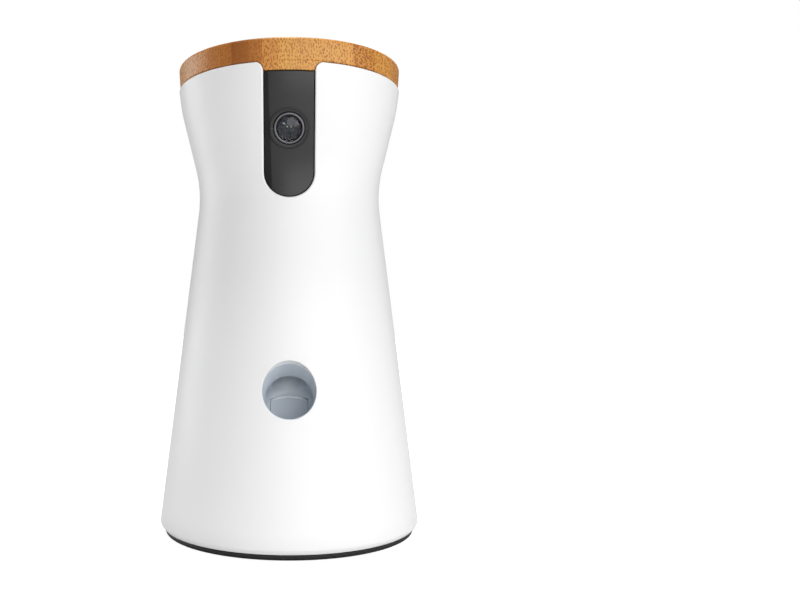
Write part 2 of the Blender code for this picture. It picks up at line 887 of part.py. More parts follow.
def loft(name, sections, look):
    """A closed ring-shaped solid through circles of (middle y, radius, height) in turn."""
    shape = bmesh.new()
    rings = []
    for middle, radius, height in sections:
        rings.append([shape.verts.new((x, y, height))
                      for x, y in circle(radius, fine_steps, (0, middle))])
    for ring, following in zip(rings, rings[1:] + rings[:1]):
        for step in range(fine_steps):
            ahead = (step + 1) % fine_steps
            shape.faces.new((ring[step], following[step], following[ahead], ring[ahead]))
    bmesh.ops.recalc_face_normals(shape, faces=shape.faces)
    mesh = bpy.data.meshes.new(name)
    shape.to_mesh(mesh)
    shape.free()
    smooth(mesh)
    return add_object(name, mesh, look)


def make_hopper():
    """The treat hopper: a round mouth under the lid that narrows to an off-centre well."""
    outer = hopper_inner_radius + hopper_wall
    flange_radius = inner_radius(hopper_top) - shell_wall / 2
    flange_bottom = hopper_top - hopper_flange_thickness
    mouth = flange_radius - hopper_mouth_width
    return loft("hopper", [
        (0, flange_radius, hopper_top), (0, flange_radius, flange_bottom),
        (0, mouth, flange_bottom), (hopper_offset, outer, hopper_shoulder_height),
        (hopper_offset, outer, hopper_bottom), (hopper_offset, hopper_inner_radius, hopper_bottom),
        (hopper_offset, hopper_inner_radius, hopper_shoulder_height + hopper_wall / 2),
        (0, mouth - hopper_wall, hopper_top)], inner_grey)


def make_hopper_floor():
    """The round plate under the hopper, with the drop hole and the wheel's shaft hole."""
    room = inner_room(hopper_floor_height, hopper_floor_top)
    radius = room - panel_flange - 2 * gap
    floor = turned("hopper_floor", disc_outline(radius, hopper_floor_height, hopper_floor_top),
                   inner_grey)
    low, high = hopper_floor_height - overrun, hopper_floor_top + overrun
    drop = rod("floor_drop_cutter", drop_radius, (0, drop_place, low), (0, drop_place, high),
               None, medium_steps)
    shaft = rod("floor_shaft_cutter", wheel_shaft_radius + running_clearance,
                (0, hopper_offset, low), (0, hopper_offset, high))
    boolean(floor, drop)
    boolean(floor, shaft)


def make_treat_wheel():
    """The pocketed wheel at the bottom of the hopper, with its shaft, and the baffle above."""
    axis = joint_axis("wheel_axis", (0, hopper_offset, wheel_bottom), pan_axis)
    shaft_bottom = hopper_floor_height
    outline = [(0, wheel_top), (wheel_radius, wheel_top), (wheel_radius, wheel_bottom),
               (wheel_shaft_radius, wheel_bottom), (wheel_shaft_radius, shaft_bottom),
               (0, shaft_bottom)]
    middle = (0, hopper_offset, 0)
    wheel = turned("treat_wheel", outline, acetal_white, fine_steps, middle)
    far = wheel_radius + overrun
    near = pocket_circle - pocket_radius
    corners = [(far, -pocket_radius, 0, 1), (near, -pocket_radius, pocket_radius, 4),
               (near, pocket_radius, pocket_radius, 4), (far, pocket_radius, 0, 1)]
    outline = [tuple(point) for point in rounded(corners, closed=True)]
    for pocket in range(wheel_pockets):
        angle = 2 * pi * pocket / wheel_pockets - pi / 2
        hole = flat(f"pocket_cutter_{pocket}", [outline], wheel_thickness + 2 * overrun, None,
                    (0, hopper_offset, wheel_bottom + wheel_thickness / 2), (0, 0, angle))
        boolean(wheel, hole)
    hang(wheel, axis)
    make_baffle()


def make_baffle():
    """The cover over the drop hole that keeps loose treats off it, clipped to the well."""
    radius = hopper_inner_radius - gap
    top = baffle_bottom + baffle_thickness
    baffle = turned("hopper_baffle", disc_outline(radius, baffle_bottom, top), inner_grey,
                    fine_steps, (0, hopper_offset, 0))
    edge = hopper_offset - radius * baffle_share
    cut = box("baffle_cutter", (-radius - overrun, edge, baffle_bottom - overrun),
              (radius + overrun, hopper_offset + radius + overrun, top + overrun))
    return boolean(baffle, cut)


def make_treat_chute():
    """The chute: a slanting drop tube joined to the tube behind the treat mouth."""
    outer = mouth_radius + chute_wall
    chute = rod("treat_chute", outer, mouth_start, mouth_end, chute_grey, medium_steps)
    reach = chute_wall + overrun
    drop_outer = drop_radius + chute_wall
    top_room = drop_start - drop_run * drop_outer
    drop = rod("drop_outer", drop_outer, top_room, drop_end, None, medium_steps)
    inside = offset_path(shell_corners, -shell_wall - gap)
    room = [(0, drop_start.z), *[point for point in rounded(inside) if point.y < drop_start.z]]
    room.insert(1, (radius_at(rounded(inside), drop_start.z), drop_start.z))
    room.append((0, room[-1][1]))
    inner_room = turned("shell_inner_room", room)
    boolean(chute, drop, "UNION")
    boolean(chute, inner_room, "INTERSECT")
    tube_bore = rod("mouth_bore", mouth_radius, mouth_start - mouth_run * reach,
                    mouth_end + mouth_run * reach, None, medium_steps)
    drop_bore = rod("drop_bore", drop_radius, top_room - drop_run * reach, drop_low, None,
                    medium_steps)
    boolean(chute, tube_bore)
    return boolean(chute, drop_bore)


def make_posts():
    """The four posts that carry the hopper floor on the turntable."""
    side = post_spread * sqrt(2) / 2
    spots = [(side, side), (-side, side), (-side, -side), (side, -side)]
    for number, (x, y) in enumerate(spots, 1):
        rod(f"frame_post_{number}", post_radius, (x, y, turntable_top + gap),
            (x, y, hopper_floor_height - gap), steel, boss_steps)


def make_launcher():
    """The paddle, its pin, the cam with its gear, the drive and the bracket round them."""
    make_launcher_frame()
    make_paddle()
    make_cam_gear()
    make_toss_drive()
    make_toss_spring()


def make_launcher_frame():
    """The bracket: two side plates joined by a bar at the front."""
    bottom = turntable_top + gap
    side = [(-frame_front, bottom, 0, 1), (frame_back, bottom, 0, 1),
            (frame_back, frame_top, frame_fillet, 3), (-frame_front, frame_top, frame_fillet, 3)]
    outline = [tuple(point) for point in rounded(side, closed=True)]
    outer = frame_inner + frame_plate
    frame = flat("launcher_frame", [outline], 2 * outer, soft_black, (0, 0, 0), side_on)
    bar_back = -frame_front + frame_bar_depth
    bar_top = bottom + frame_plate
    boolean(frame, box("frame_channel", (-frame_inner, -frame_front - overrun, bar_top),
                       (frame_inner, frame_back + overrun, frame_top + overrun)))
    boolean(frame, box("frame_window", (-frame_inner, bar_back, bottom - overrun),
                       (frame_inner, frame_back + overrun, bar_top + overrun)))
    reach = outer + overrun
    holes = [("pin_hole", pin_radius + running_clearance, pivot),
             ("axle_hole", cam_axle_radius + running_clearance, cam_centre),
             ("motor_hole", motor_boss_radius + running_clearance, toss_centre)]
    for name, radius, middle in holes:
        start = middle - Vector((reach, 0, 0))
        if name == "motor_hole":
            start = Vector(middle)
        boolean(frame, rod(name, radius, start, middle + Vector((reach, 0, 0))))
    rod("paddle_pin", pin_radius, pivot - Vector((outer, 0, 0)), pivot + Vector((outer, 0, 0)),
        steel)
    rod("cam_axle", cam_axle_radius, cam_centre - Vector((outer, 0, 0)),
        cam_centre + Vector((outer, 0, 0)), steel)


def make_paddle():
    """The launch paddle: a crowned plate and a tail whose nose rides the cam, on one barrel."""
    axis = joint_axis("paddle_axis", pivot, pan_axis)
    crown_radius = (paddle_half_width ** 2 + paddle_crown ** 2) / (2 * paddle_crown)
    spread = 2 * atan2(paddle_crown, paddle_half_width)
    arc = []
    for step in range(9):
        angle = spread * (1 - step / 4)
        arc.append((crown_radius * sin(angle), paddle_length - crown_radius * (1 - cos(angle))))
    outline = [(-paddle_half_width, 0), (paddle_half_width, 0), *arc]
    paddle = flat("launch_paddle", [outline], paddle_thickness, chute_grey, pivot,
                  (pi / 2 - paddle_lean, 0, 0))
    barrel = rod("paddle_barrel", paddle_barrel_radius, pivot - Vector((paddle_half_width, 0, 0)),
                 pivot + Vector((paddle_half_width, 0, 0)))
    tail_turn = radians(paddle_tail_degrees)
    first = -acos(paddle_tail_inner / tail_nose_radius)
    nose = []
    for step in range(9):
        angle = first + (pi - first) * step / 8
        nose.append((paddle_tail_length + tail_nose_radius * sin(angle),
                     tail_nose_radius * cos(angle)))
    tail_outline = [(0, paddle_tail_inner), *nose, (0, -paddle_tail_outer)]
    turned_outline = [(x * cos(tail_turn) - y * sin(tail_turn),
                       x * sin(tail_turn) + y * cos(tail_turn)) for x, y in tail_outline]
    middle = pivot + Vector((cam_inner + cam_thickness / 2, 0, 0))
    tail = flat("paddle_tail", [turned_outline], cam_thickness, None, middle, side_on)
    bore = rod("paddle_bore", pin_radius + running_clearance,
               pivot - Vector((paddle_half_width + overrun, 0, 0)),
               pivot + Vector((paddle_half_width + overrun, 0, 0)))
    boolean(paddle, barrel, "UNION")
    boolean(paddle, tail, "UNION")
    boolean(paddle, bore)
    for piece in (paddle, barrel, tail, bore):
        hang(piece, axis)


def make_cam_gear():
    """The snail cam and its gear on one hub."""
    axis = joint_axis("cam_axis", cam_centre, pan_axis)
    line = toss_line
    gear_middle = cam_centre + Vector((cam_gear_inner + cam_gear_thickness / 2, 0, 0))
    teeth = gear_outline(cam_gear_teeth, toss_module, line)
    gear = flat("cam_gear", [teeth], cam_gear_thickness, acetal_white, gear_middle, side_on)
    cam_middle = cam_centre + Vector((cam_inner + cam_thickness / 2, 0, 0))
    cam = flat("snail_cam", [cam_outline()], cam_thickness, None, cam_middle, side_on)
    hub_reach = frame_inner - gap
    hub = rod("cam_hub", cam_hub_radius, cam_centre - Vector((hub_reach, 0, 0)),
              cam_centre + Vector((hub_reach, 0, 0)))
    bore = rod("cam_bore", cam_axle_radius + running_clearance,
               cam_centre - Vector((hub_reach + overrun, 0, 0)),
               cam_centre + Vector((hub_reach + overrun, 0, 0)))
    boolean(gear, hub, "UNION")
    boolean(gear, cam, "UNION")
    boolean(gear, bore)
    for piece in (gear, hub, cam, bore):
        hang(piece, axis)


def make_toss_drive():
    """The toss motor outside the bracket and the pinion on its shaft."""
    axis = joint_axis("toss_pinion_axis", toss_centre, pan_axis)
    middle = toss_centre + Vector((cam_gear_inner + cam_gear_thickness / 2, 0, 0))
    teeth = gear_outline(pinion_teeth, toss_module, meshed_turn(toss_line, pinion_teeth))
    pinion = flat("toss_pinion", [teeth], cam_gear_thickness, acetal_white, middle, side_on)
    motor_face = frame_inner + frame_plate + gap
    shaft = rod("toss_shaft", pan_shaft_radius,
                toss_centre + Vector((cam_gear_inner + cam_gear_thickness / 2, 0, 0)),
                toss_centre + Vector((motor_face - motor_boss_height - gap, 0, 0)))
    boolean(pinion, shaft, "UNION")
    for piece in (pinion, shaft):
        hang(piece, axis)
    outline = [(0, toss_motor_length), (motor_radius, toss_motor_length), (motor_radius, 0),
               (motor_boss_radius, 0), (motor_boss_radius, -motor_boss_height),
               (0, -motor_boss_height)]
    turned("toss_motor", outline, motor_metal, medium_steps,
           toss_centre + Vector((motor_face, 0, 0)), along_x)


def make_toss_spring():
    """The torsion spring round the paddle's pin, one unbroken coil."""
    room = frame_inner - gap - paddle_half_width - gap
    pitch = (room - 2 * spring_wire - gap) / spring_turns
    start = -frame_inner + gap + spring_wire
    route = []
    for step in range(spring_turns * spring_turn_points + 1):
        angle = 2 * pi * step / spring_turn_points
        x = start + pitch * step / spring_turn_points
        route.append(pivot + Vector((x, spring_radius * cos(angle), spring_radius * sin(angle))))
    tube("toss_spring", route, spring_wire, steel, 1)
    print("toss spring gap between turns", round(pitch - 2 * spring_wire, 5))


def make_base():
    """The resting base: tray, cover, foot, light ring, ballast, boards and screws."""
    make_base_tray()
    make_bottom_cover()
    make_foot_ring()
    make_light_ring()
    make_ballast()
    make_power_inlet()
    make_reset_button()
    for number in range(1, 4):
        make_base_screw(number)


def channel_cutter(name):
    """A cutter for the cord's channel out of the bay to the rear."""
    return box(name, (-cord_channel_half_width, bay_back - bay_wall - overrun, -overrun),
               (cord_channel_half_width, bulge_radius + overrun, rim_top + overrun))


def make_base_tray():
    """The dark tray: visible rim, wall, deck and the hub that the body turns on."""
    step_top = cover_bottom + gap
    outline = [(rim_outer_radius, rim_top), (rim_bottom_radius, rim_bottom),
               (light_outer_radius + gap, rim_bottom), (light_outer_radius + gap, step_top),
               (base_wall_inner, step_top), (base_wall_inner, deck_bottom),
               (hub_bore_radius, deck_bottom), (hub_bore_radius, hub_top),
               (hub_neck_radius, hub_top), (hub_neck_radius, collar_top),
               (hub_outer_radius, collar_top), (hub_outer_radius, deck_height),
               (base_wall_outer, deck_height), (base_wall_outer, rim_top)]
    tray = turned("base_tray", outline, soft_black)
    stop_top = turntable_bottom - gap
    stop = rod("tray_stop", stop_post_radius, (0, stop_radius, deck_height - deck_thickness / 2),
               (0, stop_radius, stop_top), None, boss_steps)
    boolean(tray, stop, "UNION")
    for x, y in screw_spots():
        boss = rod("screw_boss", screw_boss_radius, (x, y, cover_top + gap),
                   (x, y, deck_height - deck_thickness / 2), None, boss_steps)
        boolean(tray, boss, "UNION")
        hole = rod("boss_hole", screw_shank_radius + gap, (x, y, cover_bottom),
                   (x, y, deck_bottom), None, boss_steps)
        boolean(tray, hole)
    return boolean(tray, channel_cutter("tray_channel"))


def screw_spots():
    """Places of the base screws, spread evenly with one at the front left and right."""
    angles = [radians(angle) for angle in (-150.0, -30.0, 150.0)]
    return [(screw_place_radius * cos(angle), screw_place_radius * sin(angle))
            for angle in angles]


def make_bottom_cover():
    """The bottom cover with the walls of the power plug's bay."""
    cover = turned("bottom_cover", disc_outline(cover_radius, cover_bottom, cover_top), soft_black)
    outer = bay_half_width + bay_wall
    wall_top = board_bottom - gap
    walls = box("bay_walls", (-outer, bay_front - bay_wall, cover_bottom + cover_thickness / 2),
                (outer, bay_back + bay_wall, wall_top))
    boolean(cover, walls, "UNION")
    room = box("bay_room", (-bay_half_width, bay_front, cover_bottom - overrun),
               (bay_half_width, bay_back, wall_top + overrun))
    boolean(cover, room)
    socket_room = box("socket_room", (-socket_half_width - gap, bay_front - bay_wall - overrun,
                                      board_bottom - socket_height - 2 * gap),
                      (socket_half_width + gap, bay_front + overrun, wall_top + overrun))
    boolean(cover, socket_room)
    boolean(cover, channel_cutter("cover_channel"))
    button_hole = rod("reset_hole", reset_radius + reset_clearance,
                      (0, reset_place, cover_bottom - overrun),
                      (0, reset_place, cover_top + overrun))
    boolean(cover, button_hole)
    for number, (x, y) in enumerate(screw_spots()):
        boolean(cover, rod(f"screw_hole_{number}", screw_shank_radius + gap,
                           (x, y, cover_bottom - overrun), (x, y, cover_top + overrun), None,
                           boss_steps))
    return cover


def make_foot_ring():
    """The rubber ring that the product stands on, open where the cord leaves."""
    foot = turned("foot_ring", ring_outline(foot_inner_radius, foot_outer_radius, 0,
                                            foot_thickness), rubber_black)
    return boolean(foot, channel_cutter("foot_channel"))


def make_light_ring():
    """The clear ring round the underside that glows on the surface below."""
    inner = cover_radius + gap
    top = cover_bottom
    ring = turned("light_ring", ring_outline(inner, light_outer_radius, top - light_thickness,
                                             top), light_blue)
    return boolean(ring, channel_cutter("light_channel"))


board_bottom = deck_bottom - gap - board_thickness
ballast_bottom = cover_top + gap


def make_ballast():
    """The steel weight in the base, open towards the rear for the bay and the cable."""
    top = ballast_bottom + ballast_thickness
    plate = turned("ballast_plate", ring_outline(ballast_inner_radius, ballast_outer_radius,
                                                 ballast_bottom, top), steel, medium_steps)
    notch = base_board_half_width + ballast_notch_clearance
    room = box("ballast_notch", (-notch, 0, ballast_bottom - overrun),
               (notch, ballast_outer_radius + overrun, top + overrun))
    boolean(plate, room)
    for number, (x, y) in enumerate(screw_spots()):
        boolean(plate, rod(f"ballast_hole_{number}", screw_boss_radius + gap,
                           (x, y, ballast_bottom - overrun), (x, y, top + overrun), None,
                           boss_steps))
    button_room = reset_radius + reset_collar_width + reset_clearance
    return boolean(plate, rod("ballast_button_hole", button_room,
                              (0, reset_place, ballast_bottom - overrun),
                              (0, reset_place, top + overrun)))


def make_power_inlet():
    """The board under the deck, the power socket under it and the cable up the hub."""
    box("base_board", (-base_board_half_width, bay_front - base_board_reach, board_bottom),
        (base_board_half_width, bay_back, board_bottom + board_thickness), board_green)
    socket_top = board_bottom - gap
    socket_back = bay_front + bay_wall
    socket_front = socket_back - socket_depth
    socket = box("usb_socket", (-socket_half_width, socket_front, socket_top - socket_height),
                 (socket_half_width, socket_back, socket_top), steel)
    inset = socket_height / 4
    boolean(socket, box("socket_mouth", (-socket_half_width + inset, bay_front - bay_wall,
                                         socket_top - socket_height + inset),
                        (socket_half_width - inset, socket_back + overrun, socket_top - inset)))
    level = socket_top - socket_height / 2
    points = [(0, socket_front - gap, level)]
    for step in range(9):
        angle = pi / 2 * step / 8
        points.append((0, harness_bend * (1 - sin(angle)),
                       level + harness_bend * (1 - cos(angle))))
    points.append((0, 0, base_harness_top))
    tube("base_harness", points, harness_radius, cable_grey)


def make_reset_button():
    """The reset button under the base, with a collar that keeps it in."""
    axis = joint_axis("reset_axis", (0, reset_place, cover_bottom))
    collar = reset_radius + reset_collar_width
    bottom = cover_bottom + reset_recess
    collar_bottom = cover_top + gap
    top = bottom + reset_height
    outline = [(0, top), (collar, top), (collar, collar_bottom), (reset_radius, collar_bottom),
               (reset_radius, bottom), (0, bottom)]
    button = turned("reset_button", outline, inner_grey, small_steps, (0, reset_place, 0))
    hang(button, axis)
    switch_bottom = top + reset_travel + gap
    box("reset_switch", (-collar, reset_place - collar, switch_bottom),
        (collar, reset_place + collar, deck_bottom - gap), soft_black)


def make_base_screw(number):
    """One of the screws that hold the bottom cover to the tray."""
    x, y = screw_spots()[number - 1]
    head_top = cover_bottom - gap
    tip = deck_bottom - gap
    outline = [(0, tip), (screw_shank_radius, tip), (screw_shank_radius, head_top),
               (screw_head_radius, head_top), (screw_head_radius, head_top - screw_head_height),
               (0, head_top - screw_head_height)]
    return turned(f"base_screw_{number}", outline, steel, boss_steps, (x, y, 0))


def make_bearing():
    """What is fixed to the base round the hub: gear, washer, glide ring and retainer."""
    bore = circle(hub_outer_radius + gap, medium_steps)
    teeth = gear_outline(pan_gear_teeth, pan_module, pi / 2)
    flat("pan_gear", [teeth, bore], pan_gear_height, acetal_white,
         (0, 0, pan_gear_bottom + pan_gear_height / 2))
    washer_radius = hub_outer_radius + collar_wall
    turned("thrust_washer", ring_outline(hub_outer_radius + gap, washer_radius, washer_bottom,
                                         washer_bottom + washer_thickness), steel, medium_steps)
    turned("glide_ring", ring_outline(glide_inner_radius, glide_inner_radius + glide_width,
                                      deck_height + gap, turntable_bottom - gap), acetal_white,
           medium_steps)
    turned("hub_retainer", ring_outline(hub_neck_radius + gap,
                                        hub_outer_radius + gap + retainer_lip, retainer_bottom,
                                        retainer_top), steel, medium_steps)


def make_turntable():
    """The plate that turns on the hub, with its collar and the peg that meets the stop."""
    radius = inner_room(turntable_bottom, turntable_top) - plug_clearance
    bore_radius = hub_outer_radius + running_clearance
    outline = [(radius, turntable_top), (radius, turntable_bottom),
               (bore_radius, turntable_bottom), (bore_radius, collar_top),
               (bore_radius + collar_wall, collar_top), (bore_radius + collar_wall, turntable_top)]
    table = turned("turntable", outline, soft_black)
    peg_bottom = deck_height + gap
    peg = rod("table_peg", stop_post_radius, (0, -stop_radius, peg_bottom),
              (0, -stop_radius, turntable_bottom + turntable_thickness / 2), None, boss_steps)
    boolean(table, peg, "UNION")
    hole = rod("table_motor_hole", motor_boss_radius + running_clearance,
               (0, pan_distance, turntable_bottom - overrun),
               (0, pan_distance, turntable_top + overrun))
    boolean(table, hole)


def make_pan_drive():
    """The pan motor on the turntable and the pinion that walks round the fixed gear."""
    place = (0, pan_distance, 0)
    axis = joint_axis("pan_pinion_axis", (0, pan_distance, pan_gear_bottom), pan_axis)
    teeth = gear_outline(pinion_teeth, pan_module, meshed_turn(pi / 2, pinion_teeth))
    pinion = flat("pan_pinion", [teeth], pan_gear_height, acetal_white,
                  (0, pan_distance, pan_gear_bottom + pan_gear_height / 2))
    motor_face = turntable_top + gap
    shaft = rod("pan_shaft", pan_shaft_radius, (0, pan_distance, pan_gear_bottom + gap),
                (0, pan_distance, motor_face - motor_boss_height - gap))
    boolean(pinion, shaft, "UNION")
    for piece in (pinion, shaft):
        hang(piece, axis)
    outline = [(0, motor_face + pan_motor_length), (motor_radius, motor_face + pan_motor_length),
               (motor_radius, motor_face), (motor_boss_radius, motor_face),
               (motor_boss_radius, motor_face - motor_boss_height),
               (0, motor_face - motor_boss_height)]
    turned("pan_motor", outline, motor_metal, medium_steps, place)


def make_turning_electronics():
    """The wheel motor, main board, speaker and the cable from the hub to the board."""
    motor_top = hopper_floor_height - gap
    rod("wheel_motor", motor_radius, (0, hopper_offset, motor_top - wheel_motor_length),
        (0, hopper_offset, motor_top), motor_metal, medium_steps)
    board_front = post_spread * sqrt(2) / 2 + post_radius + gap
    board_back = board_front + board_thickness
    box("main_board", (-main_board_half_width, board_front, main_board_bottom),
        (main_board_half_width, board_back, main_board_top), board_green)
    magnet_depth = speaker_depth - speaker_rim
    outline = [(0, speaker_rim), (speaker_radius, speaker_rim), (speaker_radius, 0),
               (speaker_magnet_radius, -magnet_depth), (0, -magnet_depth)]
    face = board_back + gap + magnet_depth
    turned("speaker", outline, soft_black, medium_steps, (0, face, grille_height),
           (-pi / 2, 0, 0))
    start = base_harness_top + gap
    bend = harness_bend
    points = [(0, 0, start)]
    for step in range(9):
        angle = pi / 2 * step / 8
        points.append((0, bend * (1 - cos(angle)), harness_rise - bend + bend * sin(angle)))
    points.append((0, board_front - gap, harness_rise))
    tube("body_harness", points, harness_radius, cable_grey)


pan_axis = joint_axis("pan_axis", (0, 0, turntable_bottom))


def build():
    """Make every piece and hang what turns with the body on the pan axis."""
    make_base()
    make_bearing()
    resting = set(parts.objects)
    make_turntable()
    make_pan_drive()
    make_outer_shell()
    make_camera_panel()
    make_camera()
    make_lid()
    make_hopper()
    make_hopper_floor()
    make_treat_wheel()
    make_treat_chute()
    make_posts()
    make_launcher()
    make_turning_electronics()
    for piece in parts.objects:
        if piece not in resting and piece.parent is None:
            hang(piece, pan_axis)
    bpy.context.view_layer.update()


build()
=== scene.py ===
"""The treat tossing pet camera as it looks: fine surfaces, materials, light and camera.

Metres, +Z up, the front faces -Y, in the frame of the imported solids, which this script loads first.
"""
import bmesh
import bpy
import json
from math import atan2, cos, hypot, pi, radians, sin, sqrt, tan
from mathutils import Matrix, Vector


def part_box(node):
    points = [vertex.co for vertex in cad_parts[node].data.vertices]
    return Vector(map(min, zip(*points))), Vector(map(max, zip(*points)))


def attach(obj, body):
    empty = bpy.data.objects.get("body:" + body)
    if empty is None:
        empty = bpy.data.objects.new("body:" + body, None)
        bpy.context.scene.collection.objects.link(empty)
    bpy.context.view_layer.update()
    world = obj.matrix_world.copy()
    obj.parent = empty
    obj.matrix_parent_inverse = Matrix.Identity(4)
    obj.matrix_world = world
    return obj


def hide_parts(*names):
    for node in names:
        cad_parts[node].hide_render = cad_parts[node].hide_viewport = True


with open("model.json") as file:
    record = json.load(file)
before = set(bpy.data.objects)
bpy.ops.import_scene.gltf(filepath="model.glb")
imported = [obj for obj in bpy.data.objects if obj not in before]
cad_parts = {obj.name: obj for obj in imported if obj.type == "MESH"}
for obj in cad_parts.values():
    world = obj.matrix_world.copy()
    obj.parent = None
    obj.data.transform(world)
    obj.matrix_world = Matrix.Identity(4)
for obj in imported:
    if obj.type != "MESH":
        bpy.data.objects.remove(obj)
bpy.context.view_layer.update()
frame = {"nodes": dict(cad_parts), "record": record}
nodes = frame["nodes"]

# Heights and radii read from the frame
shell_bottom, shell_top = (corner.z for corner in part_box("outer_shell"))
lid_low, lid_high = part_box("lid")
rim_radius, lid_top, plug_bottom = lid_high.x, lid_high.z, lid_low.z
seal_low, seal_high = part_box("lid_seal")
hopper_low, hopper_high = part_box("hopper")
floor_low, floor_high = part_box("hopper_floor")
baffle_low, baffle_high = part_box("hopper_baffle")
tray_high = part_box("base_tray")[1]
cover_low, cover_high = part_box("bottom_cover")
foot_low, foot_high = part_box("foot_ring")
light_low, light_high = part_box("light_ring")
table_low, table_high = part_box("turntable")

# The shell's form, with its foot a little wider than the solids'
gap = 0.0003
overrun = 0.002
shell_wall = 0.0022
shoulder_radius = 0.05164
shoulder_height = shell_top - 0.0099
shoulder_fillet = 0.080
waist_radius = 0.0423
waist_height = shell_top - 0.0478
waist_fillet = 0.060
bulge_radius = 0.06180
bulge_height = 0.0052
bulge_fillet = 0.0010
bottom_radius = 0.0602
edge_fillet = 0.0008
foot_fillet = 0.0003
mouth_fillet = 0.0003
slot_half_width = 0.0111
slot_bottom = shell_top - 0.0561
slot_flare = 0.0038
grille_height = 0.0680
grille_pitch = 0.0048
grille_hole_radius = 0.0013
grille_cut_start = 0.02
lathe_reach = 0.006
edge_skirt, edge_lift = 0.0004, 0.00001
slot_edge_overlap, mouth_edge_overlap = 0.0006, 0.0002
near_shell, near_panel = 0.00012, 0.00006

# Camera panel and lens
panel_recess = 0.0009
panel_thickness = 0.0021
panel_edge = 0.0005
panel_top = plug_bottom - gap
lens_height = shell_top - 0.0272
bezel_radius = 0.0086
bezel_proud = 0.0002
bezel_play = 0.00012
lens_root = -0.0035
ring_radius = 0.0066
ring_wall = 0.0010
ring_proud = 0.0006
glass_radius = ring_radius - ring_wall - gap
glass_crown = 0.0011
glass_edge = 0.0008
tick_half, tick_inner, tick_outer = 0.0001, 0.00045, 0.00125
barrel_root, barrel_depth, barrel_steps = -0.0033, 0.009, 3
barrel_inset, barrel_ledge, barrel_drop = 0.0006, 0.0009, 0.0008
element_inset, element_crown, element_edge = 0.0007, 0.0009, 0.0002

# Base
rim_outer = 0.0599
rim_taper = 0.0008
rim_low = 0.0005
rim_high = shell_bottom - gap
wall_outer = 0.05603
wall_thickness = 0.0026
deck_low = 0.0094
deck_high = 0.0114
screw_recess_long, screw_recess_short, screw_recess_depth = 0.62, 0.16, 0.7
hub_outer, hub_neck, hub_bore = 0.0095, 0.0075, 0.0060
stop_place, stop_post = 0.04192, 0.00153
screw_boss, screw_hole, screw_shank, screw_head = 0.0030, 0.0016, 0.0013, 0.0012
bay_half_width, bay_wall = 0.0065, 0.0012
bay_front, bay_back = 0.03403, 0.04553
channel_half_width = 0.0026
foot_inner = 0.04603
reset_place, reset_hole = -0.03003, 0.0026

# Lid
lid_fillet = 0.0012
lid_taper = 0.0006
plug_fillet = 0.0004
plug_play = 0.0004
seal_width = 0.0020

# Hopper
hopper_wall = 0.0018
hopper_offset = 0.0080
hopper_shoulder_height = shell_top - 0.0139
hopper_flange_thickness = 0.0015
hopper_flange_width = 0.0024
hopper_bore = 0.02948
hopper_turn_low, hopper_turn_reach, hopper_turn_share = 0.0020, 0.0040, 0.45
wheel_pocket, wheel_pocket_circle = 0.00699, 0.02049
wheel_shaft, shaft_hole = 0.0020, 0.0023

# Treat mouth and chute
mouth_radius = 0.0115
mouth_tall = 1.045
mouth_drop = 0.0002
mouth_slope = radians(24.0)
mouth_height = 0.0710072
chute_wall = 0.0014
mouth_tube_length = 0.02694
drop_radius = 0.00799
drop_back = 0.0045
drop_skirt = 0.0085
drop_place = hopper_offset - wheel_pocket_circle
paddle_pivot = Vector((0, -0.0325, 0.0445072))
paddle_length = 0.0226
paddle_half_width = 0.0084
paddle_crown = 0.0018
paddle_gap = 0.0005
paddle_side_gap = 0.0002
paddle_thickness = 0.0020
paddle_lean = radians(25.0)
paddle_up = Vector((0, sin(paddle_lean), cos(paddle_lean)))
paddle_face = Vector((0, -cos(paddle_lean), sin(paddle_lean)))
lip_radius = 0.0006
end_plate_half = 0.0010
collar_radius = 0.0106
collar_depth = 0.0122
chamber_radius = 0.0122
chamber_fillet = 0.0038
bore_lead, chamber_step = 0.002, 0.0006
lip_sink, lip_share, lip_taper = 0.0002, 0.96, 0.3
end_plate_foot = 0.0112


def rounded(corners, closed=False):
    """Points along a path of (x, y, fillet, steps) corners, with an arc at each fillet."""
    points = []
    last = len(corners) - 1
    for index, (x, y, fillet, steps) in enumerate(corners):
        here = Vector((x, y))
        if fillet == 0 or (not closed and index in (0, last)):
            points.append(here)
            continue
        before = Vector(corners[index - 1][:2]) - here
        after = Vector(corners[(index + 1) % len(corners)][:2]) - here
        half = before.angle(after) / 2
        reach = min(fillet / tan(half), min(before.length, after.length) / 2)
        radius = reach * tan(half)
        middle = here + (before.normalized() + after.normalized()).normalized() * radius / sin(half)
        start = here + before.normalized() * reach - middle
        end = here + after.normalized() * reach - middle
        sweep = start.angle_signed(end)
        for step in range(steps + 1):
            angle = -sweep * step / steps
            points.append(middle + Vector((start.x * cos(angle) - start.y * sin(angle),
                                           start.x * sin(angle) + start.y * cos(angle))))
    return points


def offset_path(corners, distance):
    """The same open path of corners moved square to itself, to the left of its run."""
    moved = []
    last = len(corners) - 1
    for index, (x, y, fillet, steps) in enumerate(corners):
        here = Vector((x, y))
        into = here - Vector(corners[index - 1][:2]) if index else None
        out = Vector(corners[index + 1][:2]) - here if index < last else None
        normals = [Vector((-run.y, run.x)).normalized() for run in (into, out) if run]
        if len(normals) == 1:
            shift = normals[0] * distance
        else:
            shift = (normals[0] + normals[1]) * (distance / (1 + normals[0].dot(normals[1])))
        moved.append((x + shift.x, y + shift.y, fillet, steps))
    return moved


def radius_at(line, height):
    """Radius of a turned line at a height, between its two nearest points."""
    for upper, lower in zip(line, line[1:]):
        if lower.y <= height <= upper.y:
            share = (height - lower.y) / (upper.y - lower.y)
            return lower.x + (upper.x - lower.x) * share
    return line[0].x if height > line[0].y else line[-1].x


